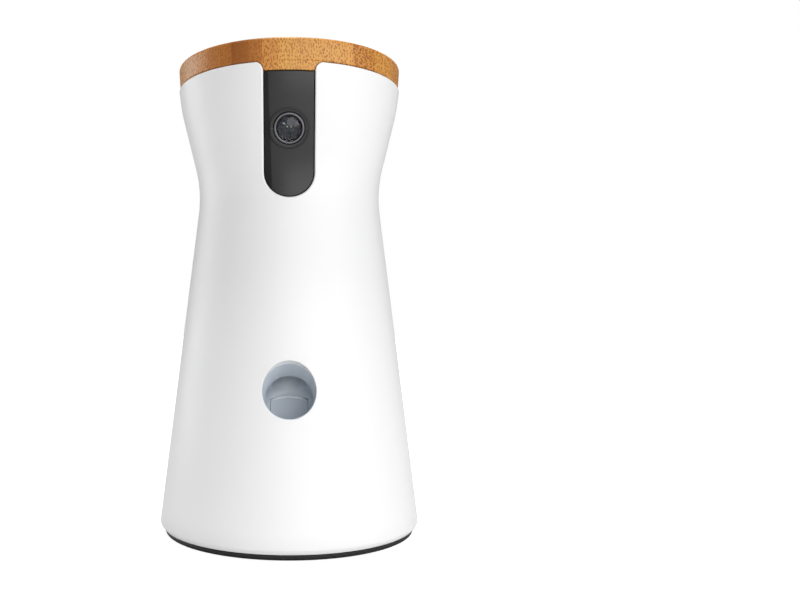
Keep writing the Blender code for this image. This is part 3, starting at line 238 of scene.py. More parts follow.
def dense(line, reach):
    """The same line with points no further apart than a reach."""
    points = [line[0]]
    for here, ahead in zip(line, line[1:]):
        count = max(1, round((ahead - here).length / reach))
        points += [here.lerp(ahead, step / count) for step in range(1, count + 1)]
    return points


shell_corners = [(rim_radius, shell_top, 0, 1),
                 (shoulder_radius, shoulder_height, shoulder_fillet, 16),
                 (waist_radius, waist_height, waist_fillet, 26),
                 (bulge_radius, bulge_height, bulge_fillet, 6),
                 (bottom_radius, shell_bottom, 0, 1)]
outer_line = rounded(shell_corners)
inner_corners = offset_path(shell_corners, -shell_wall)
inner_line = rounded(inner_corners)
panel_line = rounded(offset_path(shell_corners, -panel_recess))


def line_normal(height):
    """The outward direction (across, up) of the shell's line at a height."""
    step = 0.0004
    high, low = min(height + step, shell_top), max(height - step, shell_bottom)
    run = Vector((radius_at(outer_line, high) - radius_at(outer_line, low), high - low))
    return Vector((run.y, -run.x)).normalized()


def surface_normal(point):
    """The outward direction of the shell's surface beside a point."""
    across = line_normal(point.z)
    flat = Vector((point.x, point.y, 0)).normalized()
    return Vector((flat.x * across.x, flat.y * across.x, across.y))


def on_surface(point, run):
    """Where the line through a point along a run first meets the shell from outside."""
    low, high = -0.08, 0.03
    for _ in range(48):
        middle = (low + high) / 2
        place = point + run * middle
        if hypot(place.x, place.y) > radius_at(outer_line, place.z):
            low = middle
        else:
            high = middle
    return point + run * high


def link(item):
    """Put an object into the scene."""
    bpy.context.scene.collection.objects.link(item)
    return item


def add_mesh(name, mesh, body, slot, replaced=(), look=None):
    """Link a mesh as a piece that rides on a body, with the material of its slot."""
    piece = link(bpy.data.objects.new(name, mesh))
    mesh.materials.clear()
    mesh.materials.append(look or slot_looks[slot])
    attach(piece, body)
    if replaced:
        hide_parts(*replaced)
    return piece


def ease(piece, width, segments=2):
    """Round the sharp edges of a piece a little."""
    change = piece.modifiers.new("eased_edges", "BEVEL")
    change.width = width
    change.segments = segments
    change.limit_method = "ANGLE"
    change.angle_limit = radians(40.0)
    change.harden_normals = True


def smooth(mesh):
    """Shade a mesh smooth, apart from its real edges."""
    mesh.shade_smooth()
    mesh.set_sharp_from_angle(angle=radians(35.0))
    return mesh


def mesh_of(name, points, faces, place=None):
    """A smooth mesh of points and faces; place is a matrix from its own axes."""
    if place is not None:
        points = [place @ Vector(point) for point in points]
    mesh = bpy.data.meshes.new(name)
    mesh.from_pydata([tuple(point) for point in points], [], faces)
    mesh.validate()
    shape = bmesh.new()
    shape.from_mesh(mesh)
    bmesh.ops.remove_doubles(shape, verts=shape.verts, dist=1e-7)
    bmesh.ops.recalc_face_normals(shape, faces=shape.faces)
    shape.to_mesh(mesh)
    shape.free()
    return smooth(mesh)


def grid_faces(rows, columns, rows_close, columns_close):
    """Faces between the neighbours in rows of points, which may close round on themselves."""
    faces = []
    for row in range(rows if rows_close else rows - 1):
        for column in range(columns if columns_close else columns - 1):
            start, ahead = row * columns, (row + 1) % rows * columns
            over = (column + 1) % columns
            faces.append((start + column, ahead + column, ahead + over, start + over))
    return faces


def lathe_mesh(name, outline, steps=144, place=None, closed=True):
    """A mesh of (radius, height) points turned about its own axis."""
    points = []
    for step in range(steps):
        angle = 2 * pi * step / steps
        points += [Vector((x * cos(angle), x * sin(angle), y)) for x, y in outline]
    count = len(outline)
    on_axis = [x < 1e-9 for x, _ in outline]
    faces = [face for face in grid_faces(steps, count, True, closed)
             if not (on_axis[face[0] % count] and on_axis[face[3] % count])]
    return mesh_of(name, points, faces, place)


def prism_mesh(name, outline, low, high, place=None):
    """A closed prism of an (x, y) outline between two heights of its own axis."""
    count = len(outline)
    points = [Vector((x, y, low)) for x, y in outline] + [Vector((x, y, high)) for x, y in outline]
    faces = [[step, (step + 1) % count, count + (step + 1) % count, count + step]
             for step in range(count)]
    faces += [list(range(count))[::-1], list(range(count, 2 * count))]
    return mesh_of(name, points, faces, place)


def circle(radius, steps, middle=(0, 0)):
    """Points of a circle."""
    return [(middle[0] + radius * cos(2 * pi * step / steps),
             middle[1] + radius * sin(2 * pi * step / steps)) for step in range(steps)]


def disc_mesh(name, radius, low, high, middle=(0, 0), steps=48):
    """An upright round prism."""
    return prism_mesh(name, circle(radius, steps, middle), low, high)


def block(name, low, high):
    """A closed box between two corners."""
    outline = [(low[0], low[1]), (high[0], low[1]), (high[0], high[1]), (low[0], high[1])]
    return prism_mesh(name, outline, low[2], high[2])


def along(start, run):
    """The matrix that takes +Z to a run from a start."""
    turn = Vector(run).to_track_quat("Z", "Y").to_matrix().to_4x4()
    return Matrix.Translation(start) @ turn


def rod_mesh(name, radius, start, run, length):
    """A round rod from a start along a run."""
    return prism_mesh(name, circle(radius, 96), 0.0, length, along(start, run))


cut, join, keep = "DIFFERENCE", "UNION", "INTERSECT"


def combined(name, base, tools):
    """One mesh from a base mesh and (operation, mesh) tools, by exact Booleans."""
    target = link(bpy.data.objects.new(base.name, base))
    helpers = []
    for operation, mesh in tools:
        helper = link(bpy.data.objects.new(mesh.name, mesh))
        change = target.modifiers.new(mesh.name, "BOOLEAN")
        change.operation = operation
        change.solver = "EXACT"
        change.object = helper
        helpers.append(helper)
    bpy.context.view_layer.update()
    graph = bpy.context.evaluated_depsgraph_get()
    made = bpy.data.meshes.new_from_object(target.evaluated_get(graph))
    made.name = name
    for item in [target, *helpers]:
        bpy.data.objects.remove(item, do_unlink=True)
    return smooth(made)


def follow_surface(mesh, line, reach, low, high):
    """Give the faces near a turned line the true surface's normals, for a clean gloss."""
    normals = [Vector(corner.vector) for corner in mesh.corner_normals]
    for polygon in mesh.polygons:
        middle = polygon.center
        away = hypot(middle.x, middle.y) - radius_at(line, middle.z)
        if abs(away) < reach and low < middle.z < high:
            for loop in polygon.loop_indices:
                normals[loop] = surface_normal(mesh.vertices[mesh.loops[loop].vertex_index].co)
    mesh.normals_split_custom_set([tuple(normal) for normal in normals])


# Materials


class Look:
    """A node material under construction, with short helpers for its nodes."""

    def __init__(self, name, colour, roughness, metallic=0.0):
        self.material = bpy.data.materials.new(name)
        self.material.use_nodes = True
        self.nodes = self.material.node_tree.nodes
        self.links = self.material.node_tree.links
        self.shader = self.nodes["Principled BSDF"]
        self.set("Base Color", (*colour, 1.0))
        self.set("Roughness", roughness)
        self.set("Metallic", metallic)
        self.place = self.nodes.new("ShaderNodeTexCoord").outputs["Object"]

    def set(self, name, value):
        self.shader.inputs[name].default_value = value

    def feed(self, name, output):
        self.links.new(output, self.shader.inputs[name])

    def node(self, kind, values, **settings):
        """A node with its settings, and with a link or a value on each given socket."""
        node = self.nodes.new("ShaderNode" + kind)
        for name, setting in settings.items():
            setattr(node, name, setting)
        for name, value in values.items() if isinstance(values, dict) else enumerate(values):
            if isinstance(value, bpy.types.NodeSocket):
                self.links.new(value, node.inputs[name])
            else:
                node.inputs[name].default_value = value
        return node

    def vector_math(self, operation, first, second=(0.0, 0.0, 0.0)):
        node = self.node("VectorMath", (first, second), operation=operation)
        return node.outputs["Value" if operation == "LENGTH" else 0]

    def scaled(self, output, factors):
        return self.vector_math("MULTIPLY", output, factors)

    def math(self, operation, first, second=0.0):
        return self.node("Math", (first, second), operation=operation).outputs[0]

    def parts(self, output):
        return self.node("SeparateXYZ", (output,)).outputs

    def joined(self, x, y, z):
        return self.node("CombineXYZ", (x, y, z)).outputs[0]

    def noise(self, place, scale, detail=2.0):
        values = {"Vector": place, "Scale": scale, "Detail": detail, "Roughness": 0.5}
        return self.node("TexNoise", values).outputs["Fac"]

    def cells(self, place, output, randomness):
        values = {"Vector": place, "Scale": 1.0, "Randomness": randomness}
        return self.node("TexVoronoi", values, voronoi_dimensions="2D").outputs[output]

    def ranged(self, value, low, high, to_low=0.0, to_high=1.0, smooth=False):
        values = {"Value": value, "From Min": low, "From Max": high, "To Min": to_low,
                  "To Max": to_high}
        kind = "SMOOTHSTEP" if smooth else "LINEAR"
        return self.node("MapRange", values, interpolation_type=kind).outputs["Result"]

    def ramp(self, value, stops, constant=False):
        node = self.node("ValToRGB", (value,))
        node.color_ramp.interpolation = "CONSTANT" if constant else "LINEAR"
        elements = node.color_ramp.elements
        while len(elements) > 1:
            elements.remove(elements[-1])
        elements[0].position = stops[0][0]
        elements[0].color = (*stops[0][1], 1.0)
        for position, colour in stops[1:]:
            elements.new(position).color = (*colour, 1.0)
        return node.outputs["Color"]

    def mix(self, share, first, second):
        values = {"Factor": share}
        for name, value in (("A", first), ("B", second)):
            values[name] = value if isinstance(value, bpy.types.NodeSocket) else (*value, 1.0)
        return self.node("Mix", values, data_type="RGBA").outputs["Result"]

    def turned(self, x, y, angle):
        """Places (x, y) seen from axes that are turned by an angle."""
        side, rise = cos(angle), sin(angle)
        return (self.math("ADD", self.math("MULTIPLY", x, side), self.math("MULTIPLY", y, rise)),
                self.math("SUBTRACT", self.math("MULTIPLY", y, side),
                          self.math("MULTIPLY", x, rise)))

    def bump(self, height, distance):
        values = {"Strength": 1.0, "Distance": distance, "Height": height}
        self.feed("Normal", self.node("Bump", values).outputs["Normal"])


def linear(red, green, blue):
    """Linear colour from the usual 0 to 255 values of a screen."""
    return tuple(((part / 255 + 0.055) / 1.055) ** 2.4 if part > 10.31 else part / 255 / 12.92
                 for part in (red, green, blue))


def plastic(name, colour, roughness, grain=9000.0, depth=0.000006, spread=0.06, tint=0.05,
            **extra):
    """Moulded plastic: a fine moulded grain, and colour and gloss that vary a little."""
    look = Look(name, colour, roughness)
    broad = look.noise(look.place, 60.0)
    darker = tuple(part * (1 - tint) for part in colour)
    look.feed("Base Color", look.mix(broad, colour, darker))
    look.feed("Roughness", look.ranged(broad, 0.3, 0.7, roughness - spread / 2,
                                       roughness + spread / 2))
    look.bump(look.noise(look.place, grain), depth)
    for setting, value in extra.items():
        look.set(setting.replace("_", " "), value)
    return look


def metal(name, colour, roughness, stretch=(1.0, 1.0, 30.0), scale=400.0):
    """Machined or plated metal with fine drawn lines."""
    look = Look(name, colour, roughness, 1.0)
    lines = look.noise(look.scaled(look.place, stretch), scale, 3.0)
    broad = look.noise(look.place, 90.0)
    look.feed("Roughness", look.ranged(lines, 0.25, 0.75, roughness - 0.07, roughness + 0.09))
    darker = tuple(part * 0.86 for part in colour)
    look.feed("Base Color", look.mix(broad, colour, darker))
    look.bump(lines, 0.000004)
    return look


def make_bamboo():
    """Laminated bamboo: strips side by side, fibre bundles that run front to back."""
    look = Look("bamboo_lacquered", linear(214, 160, 88), 0.42)
    x, y, z = look.parts(look.place)
    wobble = look.ranged(look.noise(look.place, 30.0, 1.0), 0.0, 1.0, -0.0006, 0.0006)
    strip = look.ranged(look.math("ADD", x, wobble), -rim_radius, rim_radius)
    dense_start, dense_end = 0.760, 0.858
    tan_with_painted_rim_light, honey, red_brown = linear(206, 156, 92), linear(222, 168, 84), linear(138, 78, 38)
    amber_with_painted_shade, orange = linear(188, 122, 54), linear(216, 160, 78)
    # Tones across the strips, left to right: partly the strips' own tones and partly painted light, with
    # painted shade in the darker amber on the left and a painted rim light in the lighter tan at the far
    # left end.
    stops = [(0.0, tan_with_painted_rim_light), (0.10, linear(206, 148, 84)), (0.158, amber_with_painted_shade), (0.262, red_brown),
             (0.335, linear(164, 104, 50)), (0.388, linear(208, 146, 76)), (0.455, honey),
             (0.545, orange), (0.650, honey), (dense_start, linear(204, 138, 64)),
             (dense_end, orange), (0.930, linear(206, 148, 78))]
    tone = look.mix(0.35, look.ramp(strip, stops, constant=True), look.ramp(strip, stops))
    cloud = look.noise(look.scaled(look.place, (1.0, 0.12, 0.5)), 140.0, 3.0)
    tone = look.mix(look.ranged(cloud, 0.3, 0.75, 0.0, 0.32), tone, linear(176, 112, 54))

    # Bundles run front to back, and show as small upright ellipses in front
    sway = look.ranged(look.noise(look.place, 45.0), 0.0, 1.0, -0.0009, 0.0009)
    bent = look.joined(look.math("ADD", x, sway), y, look.math("ADD", z, sway))
    bent_x, _, bent_z = look.parts(bent)
    layers = []
    for pitch_across, pitch_up, half_across, half_up, soft_edge in (
            (0.00112, 0.00140, 0.00032, 0.00058, 1.25), (0.00108, 0.00114, 0.00046, 0.00050, 1.2)):
        grid = look.joined(look.math("DIVIDE", bent_x, pitch_across),
                           look.math("DIVIDE", bent_z, pitch_up), 0.0)
        away = look.vector_math("SUBTRACT", grid, look.cells(grid, "Position", 0.80))
        ellipse = look.scaled(away, (pitch_across / half_across, pitch_up / half_up, 0.0))
        distance = look.vector_math("LENGTH", ellipse)
        layers.append(look.ranged(distance, 0.55, soft_edge, 1.0, 0.0, True))
    dense_strip = look.ramp(strip, [(0.0, (0, 0, 0)), (dense_start, (1, 1, 1)),
                                   (dense_end, (0, 0, 0))], constant=True)
    flecks = look.mix(dense_strip, *[look.joined(layer, layer, layer) for layer in layers])
    strength = look.ranged(look.noise(look.place, 420.0), 0.3, 0.7, 0.45, 1.0)
    fleck_share = look.math("MULTIPLY", look.math("MULTIPLY", flecks, strength), 0.95)
    fleck_tone = look.mix(dense_strip, linear(146, 74, 18), linear(108, 48, 14))
    coloured = look.mix(fleck_share, tone, fleck_tone)
    fibres = look.noise(look.scaled(bent, (1.0, 0.03, 1.0)), 3800.0)
    coloured = look.mix(look.ranged(fibres, 0.35, 0.8, 0.0, 0.30), coloured, linear(150, 92, 42))
    coloured = look.mix(0.14, coloured, linear(140, 84, 20))

    # Thin dark lines at even steps, like glue lines
    edge = look.math("FRACT", look.math("MULTIPLY", strip, 11.0))
    seam = look.ranged(look.math("ABSOLUTE", look.math("SUBTRACT", edge, 0.5)), 0.488, 0.5)
    coloured = look.mix(look.math("MULTIPLY", seam, 0.5), coloured, linear(120, 68, 30))
    look.feed("Base Color", coloured)
    look.feed("Roughness", look.ranged(fibres, 0.3, 0.7, 0.36, 0.50))
    height = look.math("ADD", look.math("MULTIPLY", fleck_share, -0.6), fibres)
    look.bump(height, 0.00002)
    look.set("Specular IOR Level", 0.3)
    return look.material


def make_shell_white():
    """Satin white moulded shell."""
    look = Look("white_satin", (0.86, 0.86, 0.862), 0.34)
    broad = look.noise(look.place, 25.0)
    look.feed("Base Color", look.mix(broad, (0.780, 0.780, 0.783), (0.766, 0.766, 0.770)))
    look.feed("Roughness", look.ranged(broad, 0.3, 0.7, 0.40, 0.46))
    look.bump(look.noise(look.place, 5200.0), 0.000004)
    look.set("Specular IOR Level", 0.3)
    return look.material


def make_panel_look():
    """Charcoal satin plastic with a painted dark reflection down the panel's left side."""
    look = plastic("panel_charcoal", (0.030, 0.030, 0.031), 0.36, 7000.0, 0.000001, 0.03, 0.04)
    x, _, z = look.parts(look.place)
    below_top = look.math("SUBTRACT", panel_top, z)
    # The edge of a painted dark reflection: a near-black strip down the panel's left side, wider towards
    # the foot.
    painted_reflection_edge = look.math("ADD", -0.0090, look.math("MULTIPLY", 0.032, below_top))
    share = look.ranged(look.math("SUBTRACT", x, painted_reflection_edge), -0.0003, 0.0003, 1.0, 0.0, True)
    broad = look.noise(look.place, 60.0)
    charcoal = look.mix(broad, (0.030, 0.030, 0.031), (0.027, 0.027, 0.028))
    look.feed("Base Color", look.mix(share, charcoal, (0.008, 0.008, 0.0085)))
    look.set("Specular IOR Level", 0.25)
    return look.material


def make_board():
    """A green circuit board with lighter tracks under the mask."""
    look = Look("board_solder_mask", (0.02, 0.12, 0.06), 0.38)
    grid = look.scaled(look.place, (900.0, 900.0, 900.0))
    share = look.ranged(look.cells(grid, "Distance", 0.2), 0.40, 0.46)
    look.feed("Base Color", look.mix(share, (0.015, 0.10, 0.05), (0.06, 0.22, 0.10)))
    look.bump(share, 0.00002)
    return look.material


def make_lens_glass():
    """Coated lens glass, clear with a faint tint."""
    look = Look("lens_clear", (0.90, 0.92, 0.95), 0.02)
    look.set("Transmission Weight", 1.0)
    look.set("IOR", 1.28)
    dust = look.noise(look.place, 900.0)
    look.feed("Roughness", look.ranged(dust, 0.4, 0.8, 0.0, 0.02))
    return look.material


lens_lean = atan2(shoulder_radius - waist_radius, shoulder_height - waist_height)
lens_front = radius_at(outer_line, lens_height)
lens_point = Vector((0, -lens_front + panel_recess / cos(lens_lean), lens_height))
lens_frame = Matrix.Translation(lens_point) @ Matrix.Rotation(pi / 2 + lens_lean, 4, "X")


def make_lens_element():
    """The dark inner element, with faint coloured painted reflections."""
    look = Look("lens_element_painted_reflections", (0.035, 0.036, 0.040), 0.30)
    x, y, z = look.parts(look.vector_math("SUBTRACT", look.place, tuple(lens_point)))
    _, up = look.turned(y, z, lens_lean)
    place = look.joined(x, up, 0.0)
    away = look.vector_math("LENGTH", place)
    base = look.ramp(look.ranged(away, 0.0, glass_radius),
                     [(0.0, (0.030, 0.031, 0.034)), (0.42, (0.040, 0.041, 0.046)),
                      (0.46, (0.012, 0.012, 0.014)), (0.56, (0.045, 0.046, 0.052)),
                      (0.74, (0.018, 0.018, 0.024)), (0.80, (0.050, 0.050, 0.060)),
                      (0.92, (0.014, 0.014, 0.018))])
    # Painted reflections: small soft coloured and pale spots painted into the colour where lights would
    # reflect.
    painted_reflections = base
    for middle, size, turn, colour, share in (
            ((-0.00215, 0.00195), (0.00042, 0.00080), 0.7, (0.55, 0.80, 0.78), 0.9),
            ((-0.00262, 0.00205), (0.00060, 0.00070), 0.0, (0.42, 0.14, 0.28), 0.5),
            ((0.00330, 0.00215), (0.00028, 0.00110), 0.8, (0.42, 0.12, 0.22), 0.75),
            ((0.00290, 0.00170), (0.00022, 0.00070), 0.8, (0.16, 0.36, 0.34), 0.5),
            ((-0.00078, 0.00058), (0.00028, 0.00056), 0.75, (0.78, 0.78, 0.50), 0.9),
            ((0.00082, 0.00058), (0.00028, 0.00056), -0.75, (0.70, 0.76, 0.50), 0.85)):
        x, y, _ = look.parts(look.vector_math("SUBTRACT", place, (*middle, 0.0)))
        across, along_it = look.turned(x, y, turn)
        spot = look.vector_math("LENGTH", look.joined(look.math("DIVIDE", across, size[0]),
                                                      look.math("DIVIDE", along_it, size[1]), 0.0))
        painted_reflections = look.mix(look.ranged(spot, 0.2, 1.0, share, 0.0, True), painted_reflections, colour)
    look.feed("Base Color", painted_reflections)
    look.set("Specular IOR Level", 0.15)
    return look.material


slot_looks = {
    "white_plastic": make_shell_white(),
    "bamboo": make_bamboo(),
    "panel_black": make_panel_look(),
    "soft_black": plastic("soft_black_plastic", (0.010, 0.010, 0.011), 0.55).material,
    "inner_grey": plastic("inner_grey_plastic", (0.15, 0.15, 0.16), 0.50, 6000.0).material,
    # The chute's grey-blue stands in for white plastic in shade: painted shade.
    "chute_grey": plastic("chute_grey_painted_shade", (0.60, 0.655, 0.715), 0.40, 6000.0,
                          0.000004).material,
    "rubber_black": plastic("rubber_black_matt", (0.013, 0.013, 0.013), 0.80, 3000.0,
                            0.00003).material,
    "silicone": plastic("silicone_milky", (0.74, 0.75, 0.75), 0.44, 3500.0, 0.00001,
                        Subsurface_Weight=0.3, Subsurface_Scale=0.002).material,
    # The diffuser's blue is a painted glow of the light ring; it gives off no light.
    "light_diffuser": plastic("light_ring_diffuser_painted_glow", (0.30, 0.55, 0.80), 0.30, 3500.0, 0.00001,
                              Transmission_Weight=0.35, IOR=1.49).material,
    "acetal": plastic("acetal_natural", (0.76, 0.75, 0.71), 0.42, 5000.0).material,
    "cable_grey": plastic("cable_sleeve", (0.09, 0.09, 0.10), 0.55, 2500.0, 0.00004).material,
    "steel": metal("steel_plain", (0.56, 0.57, 0.58), 0.32).material,
    "motor_metal": metal("motor_can_plated", (0.50, 0.50, 0.51), 0.36, (30.0, 1.0, 1.0)).material,
    "ring_metal": metal("ring_anodised", (0.15, 0.145, 0.155), 0.44, (1.0, 1.0, 1.0),
                        900.0).material,
    "board_green": make_board(),
    "lens_glass": make_lens_glass(),
}
# A lighter copy of the chute's plastic for the paddle's bead: a painted highlight along its top edge.
lip_painted_highlight_look = plastic("paddle_lip_painted_highlight", (0.86, 0.90, 0.94), 0.35, 6000.0, 0.000004).material
lens_element = make_lens_element()


def dress_solids():
    """Give every carried solid the material of its slot."""
    for part in frame["record"]["subparts"]:
        looks = nodes[part["node"]].data.materials
        looks.clear()
        looks.append(slot_looks[part["material_slot"]])


# The shell


def slot_line():
    """Points and outward directions along the slot's outline in the plane of x and z."""
    corner, steps = [], 14
    for step in range(steps + 1):
        angle = pi / 2 + pi / 2 * step / steps
        corner.append(Vector((slot_half_width + slot_flare * (1 + cos(angle)),
                              shell_top - slot_flare * (1 - sin(angle)))))
    side = shell_top - slot_flare
    half = slot_half_width
    foot = rounded([(half, side, 0, 1), (half, slot_bottom, half, 26),
                    (-half, slot_bottom, half, 26), (-half, side, 0, 1)])
    mirrored = [Vector((-point.x, point.y)) for point in corner[::-1]]
    line = dense(corner + foot[1:-1] + mirrored, 0.0016)
    outwards = []
    for index in range(len(line)):
        run = line[min(index + 1, len(line) - 1)] - line[max(index - 1, 0)]
        outwards.append(Vector((-run.y, run.x)).normalized())
    return line, outwards


def rounded_edge(name, places, outwards, run, wall, fillet, closed):
    """The rounded edge of an opening: from the shell's face round into the opening's wall.

    Places and outward directions lie in a plane across the run, which leads into the opening.
    """
    sections = [(fillet + edge_skirt, -edge_lift, 0.0), (fillet, -edge_lift, 0.0)]
    sections += [(fillet * (1 - sin(step * pi / 12)), fillet * (1 - cos(step * pi / 12)),
                  step * pi / 12) for step in range(1, 7)]
    sections += [(0.0, fillet + (wall - fillet) * share, pi / 2) for share in (0.4, 1.0)]
    points, normals = [], []
    for place, out in zip(places, outwards):
        for offset, depth, angle in sections:
            face = on_surface(place + out * offset, run)
            points.append(face + run * depth)
            up = surface_normal(face)
            normals.append((up * cos(angle) - out * sin(angle)).normalized())
    faces = grid_faces(len(places), len(sections), closed, False)
    mesh = bpy.data.meshes.new(name)
    mesh.from_pydata(points, [], faces)
    first = mesh.polygons[0]
    if first.normal.dot(normals[first.vertices[0]]) < 0:
        mesh.flip_normals()
    mesh.shade_smooth()
    mesh.normals_split_custom_set_from_vertices([tuple(normal) for normal in normals])
    add_mesh(name, mesh, "turret", "white_plastic")


def shell_loop():
    """The closed outline of the shell's wall, from the rim down the outside and back up."""
    inner_fine = [(x, y, fillet, max(2, steps // 2)) for x, y, fillet, steps in inner_corners]
    loop = [(inner_fine[0][0], shell_top, edge_fillet, 4), (rim_radius, shell_top, edge_fillet, 6)]
    loop += shell_corners[1:-1]
    loop += [(bottom_radius, shell_bottom, foot_fillet, 3),
             (radius_at(inner_line, shell_bottom), shell_bottom, foot_fillet, 2)]
    loop += inner_fine[-2:0:-1]
    return rounded(loop, closed=True)


def frame_of(up, out, place):
    """The matrix that takes x, y, z to sideways, up and out from a place in the middle plane."""
    turn = Matrix(((1, 0, 0, 0), (0, up.y, out.y, 0), (0, up.z, out.z, 0), (0, 0, 0, 1)))
    return Matrix.Translation(place) @ turn


front_on = Matrix.Rotation(pi / 2, 4, "X")
mouth_place = Vector((0, -radius_at(outer_line, mouth_height), mouth_height))
mouth_run = Vector((0, cos(mouth_slope), -sin(mouth_slope)))
mouth_up = Vector((0, sin(mouth_slope), cos(mouth_slope)))
mouth_end = mouth_place + mouth_run * mouth_tube_length
mouth_frame = frame_of(mouth_up, -mouth_run, mouth_place)
plate_reach = (paddle_pivot - mouth_end).dot(paddle_face) / mouth_run.dot(paddle_face)
end_plate_middle = mouth_end + mouth_run * plate_reach


def make_shell():
    """The hourglass shell with its openings, and the rounded edges of slot and mouth."""
    loop = shell_loop()
    base = lathe_mesh("shell_base", dense([*loop, loop[0]], lathe_reach)[:-1], 168)
    line, outwards = slot_line()
    wide = [here + out * edge_fillet for here, out in zip(line, outwards)]
    top = shell_top + overrun
    outline = [(wide[0].x, top), *wide, (wide[-1].x, top)]
    slot_cut = prism_mesh("slot_cut", outline, slot_half_width, rim_radius + overrun, front_on)
    round_mouth = circle(mouth_radius + mouth_fillet, 96)
    oval = [(x, y * mouth_tall - mouth_drop) for x, y in round_mouth]
    mouth_cut = prism_mesh("mouth_cut", oval, -mouth_tube_length * 0.5,
                           mouth_radius + overrun, mouth_frame)
    tools = [(cut, slot_cut), (cut, mouth_cut)]
    for ring in range(2):
        count = 6 * ring or 1
        for step in range(count):
            angle = 2 * pi * step / count
            away = ring * grille_pitch
            place = (away * cos(angle), 0, grille_height + away * sin(angle))
            tools.append((cut, prism_mesh("grille_cut", circle(grille_hole_radius, 32), grille_cut_start,
                                          bulge_radius + overrun, along(place, (0, 1, 0)))))
    mesh = combined("shell_body", base, tools)
    follow_surface(mesh, outer_line, near_shell, shell_bottom + foot_fillet + 0.0001,
                   shell_top - edge_fillet)
    add_mesh("shell_body", mesh, "turret", "white_plastic", ["outer_shell"])
    places = [Vector((here.x, 0, here.y)) for here in line]
    outs = [Vector((out.x, 0, out.y)) for out in outwards]
    rounded_edge("shell_slot_edge", places, outs, Vector((0, 1, 0)), shell_wall + slot_edge_overlap,
                 edge_fillet, False)
    ring = [mouth_up * y + Vector((x, 0, 0)) for x, y in circle(1, 96)]
    places = [mouth_place + Vector((out.x, 0, 0)) * mouth_radius
              + mouth_up * (out.dot(mouth_up) * mouth_radius * mouth_tall - mouth_drop)
              for out in ring]
    rounded_edge("shell_mouth_edge", places, ring, mouth_run, shell_wall + mouth_edge_overlap,
                 mouth_fillet, True)


# Camera panel and lens


def panel_outline(inset):
    """The panel's outline drawn in by an inset, from the top right round the foot."""
    steps, side_steps, top_steps = 24, 26, 12
    half = slot_half_width - gap - inset
    high = panel_top - inset
    middle = slot_bottom + gap + inset + half
    right = [Vector((half, high + (middle - high) * step / side_steps)) for step in range(side_steps)]
    foot = [Vector((half * cos(pi * step / steps), middle - half * sin(pi * step / steps)))
            for step in range(steps + 1)]
    left = [Vector((-half, middle + (high - middle) * step / side_steps))
            for step in range(1, side_steps + 1)]
    top = [Vector((half * (2 * step / top_steps - 1), high)) for step in range(1, top_steps)]
    return right + foot + left + top


def panel_point(place, depth):
    """A point of the panel's face under a place in front, sunk by a depth."""
    radius = radius_at(panel_line, place.y) - depth
    return Vector((place.x, -sqrt(max(radius ** 2 - place.x ** 2, 1e-9)), place.y))


def make_panel():
    """The dark panel: one smooth face that follows the shell, with eased edges."""
    insets = [(0.0, panel_thickness), (0.0, panel_edge)]
    insets += [(panel_edge * (1 - cos(step * pi / 12)), panel_edge * (1 - sin(step * pi / 12)))
               for step in range(1, 7)]
    insets += [(share * slot_half_width, 0.0) for share in (0.12, 0.25, 0.4, 0.55, 0.7, 0.85)]
    insets.append((slot_half_width - gap, 0.0))
    rings = [[panel_point(place, depth) for place in panel_outline(inset)]
             for inset, depth in insets]
    count = len(rings[0])
    faces = grid_faces(len(rings), count, False, True) + [list(range(count))[::-1]]
    base = mesh_of("panel_base", [point for ring in rings for point in ring], faces)
    hole = prism_mesh("panel_hole", circle(bezel_radius + bezel_play, 96), -0.004, 0.003,
                      lens_frame)
    mesh = combined("camera_face", base, [(cut, hole)])
    follow_surface(mesh, panel_line, near_panel, slot_bottom, panel_top - panel_edge)
    add_mesh("camera_face", mesh, "turret", "panel_black", ["camera_panel"])


def lens_lathe(name, outline, slot, replaced=(), look=None):
    """A piece turned about the lens line, with heights counted outwards from the panel."""
    mesh = lathe_mesh(name, outline, 96, lens_frame, closed=outline[0][0] > 0)
    add_mesh(name, mesh, "turret", slot, replaced, look)


def dome(radius, crown, top, steps=16):
    """Outline of a dome from its middle to its edge."""
    return [(radius * step / steps, top - crown * (step / steps) ** 2) for step in range(steps + 1)]


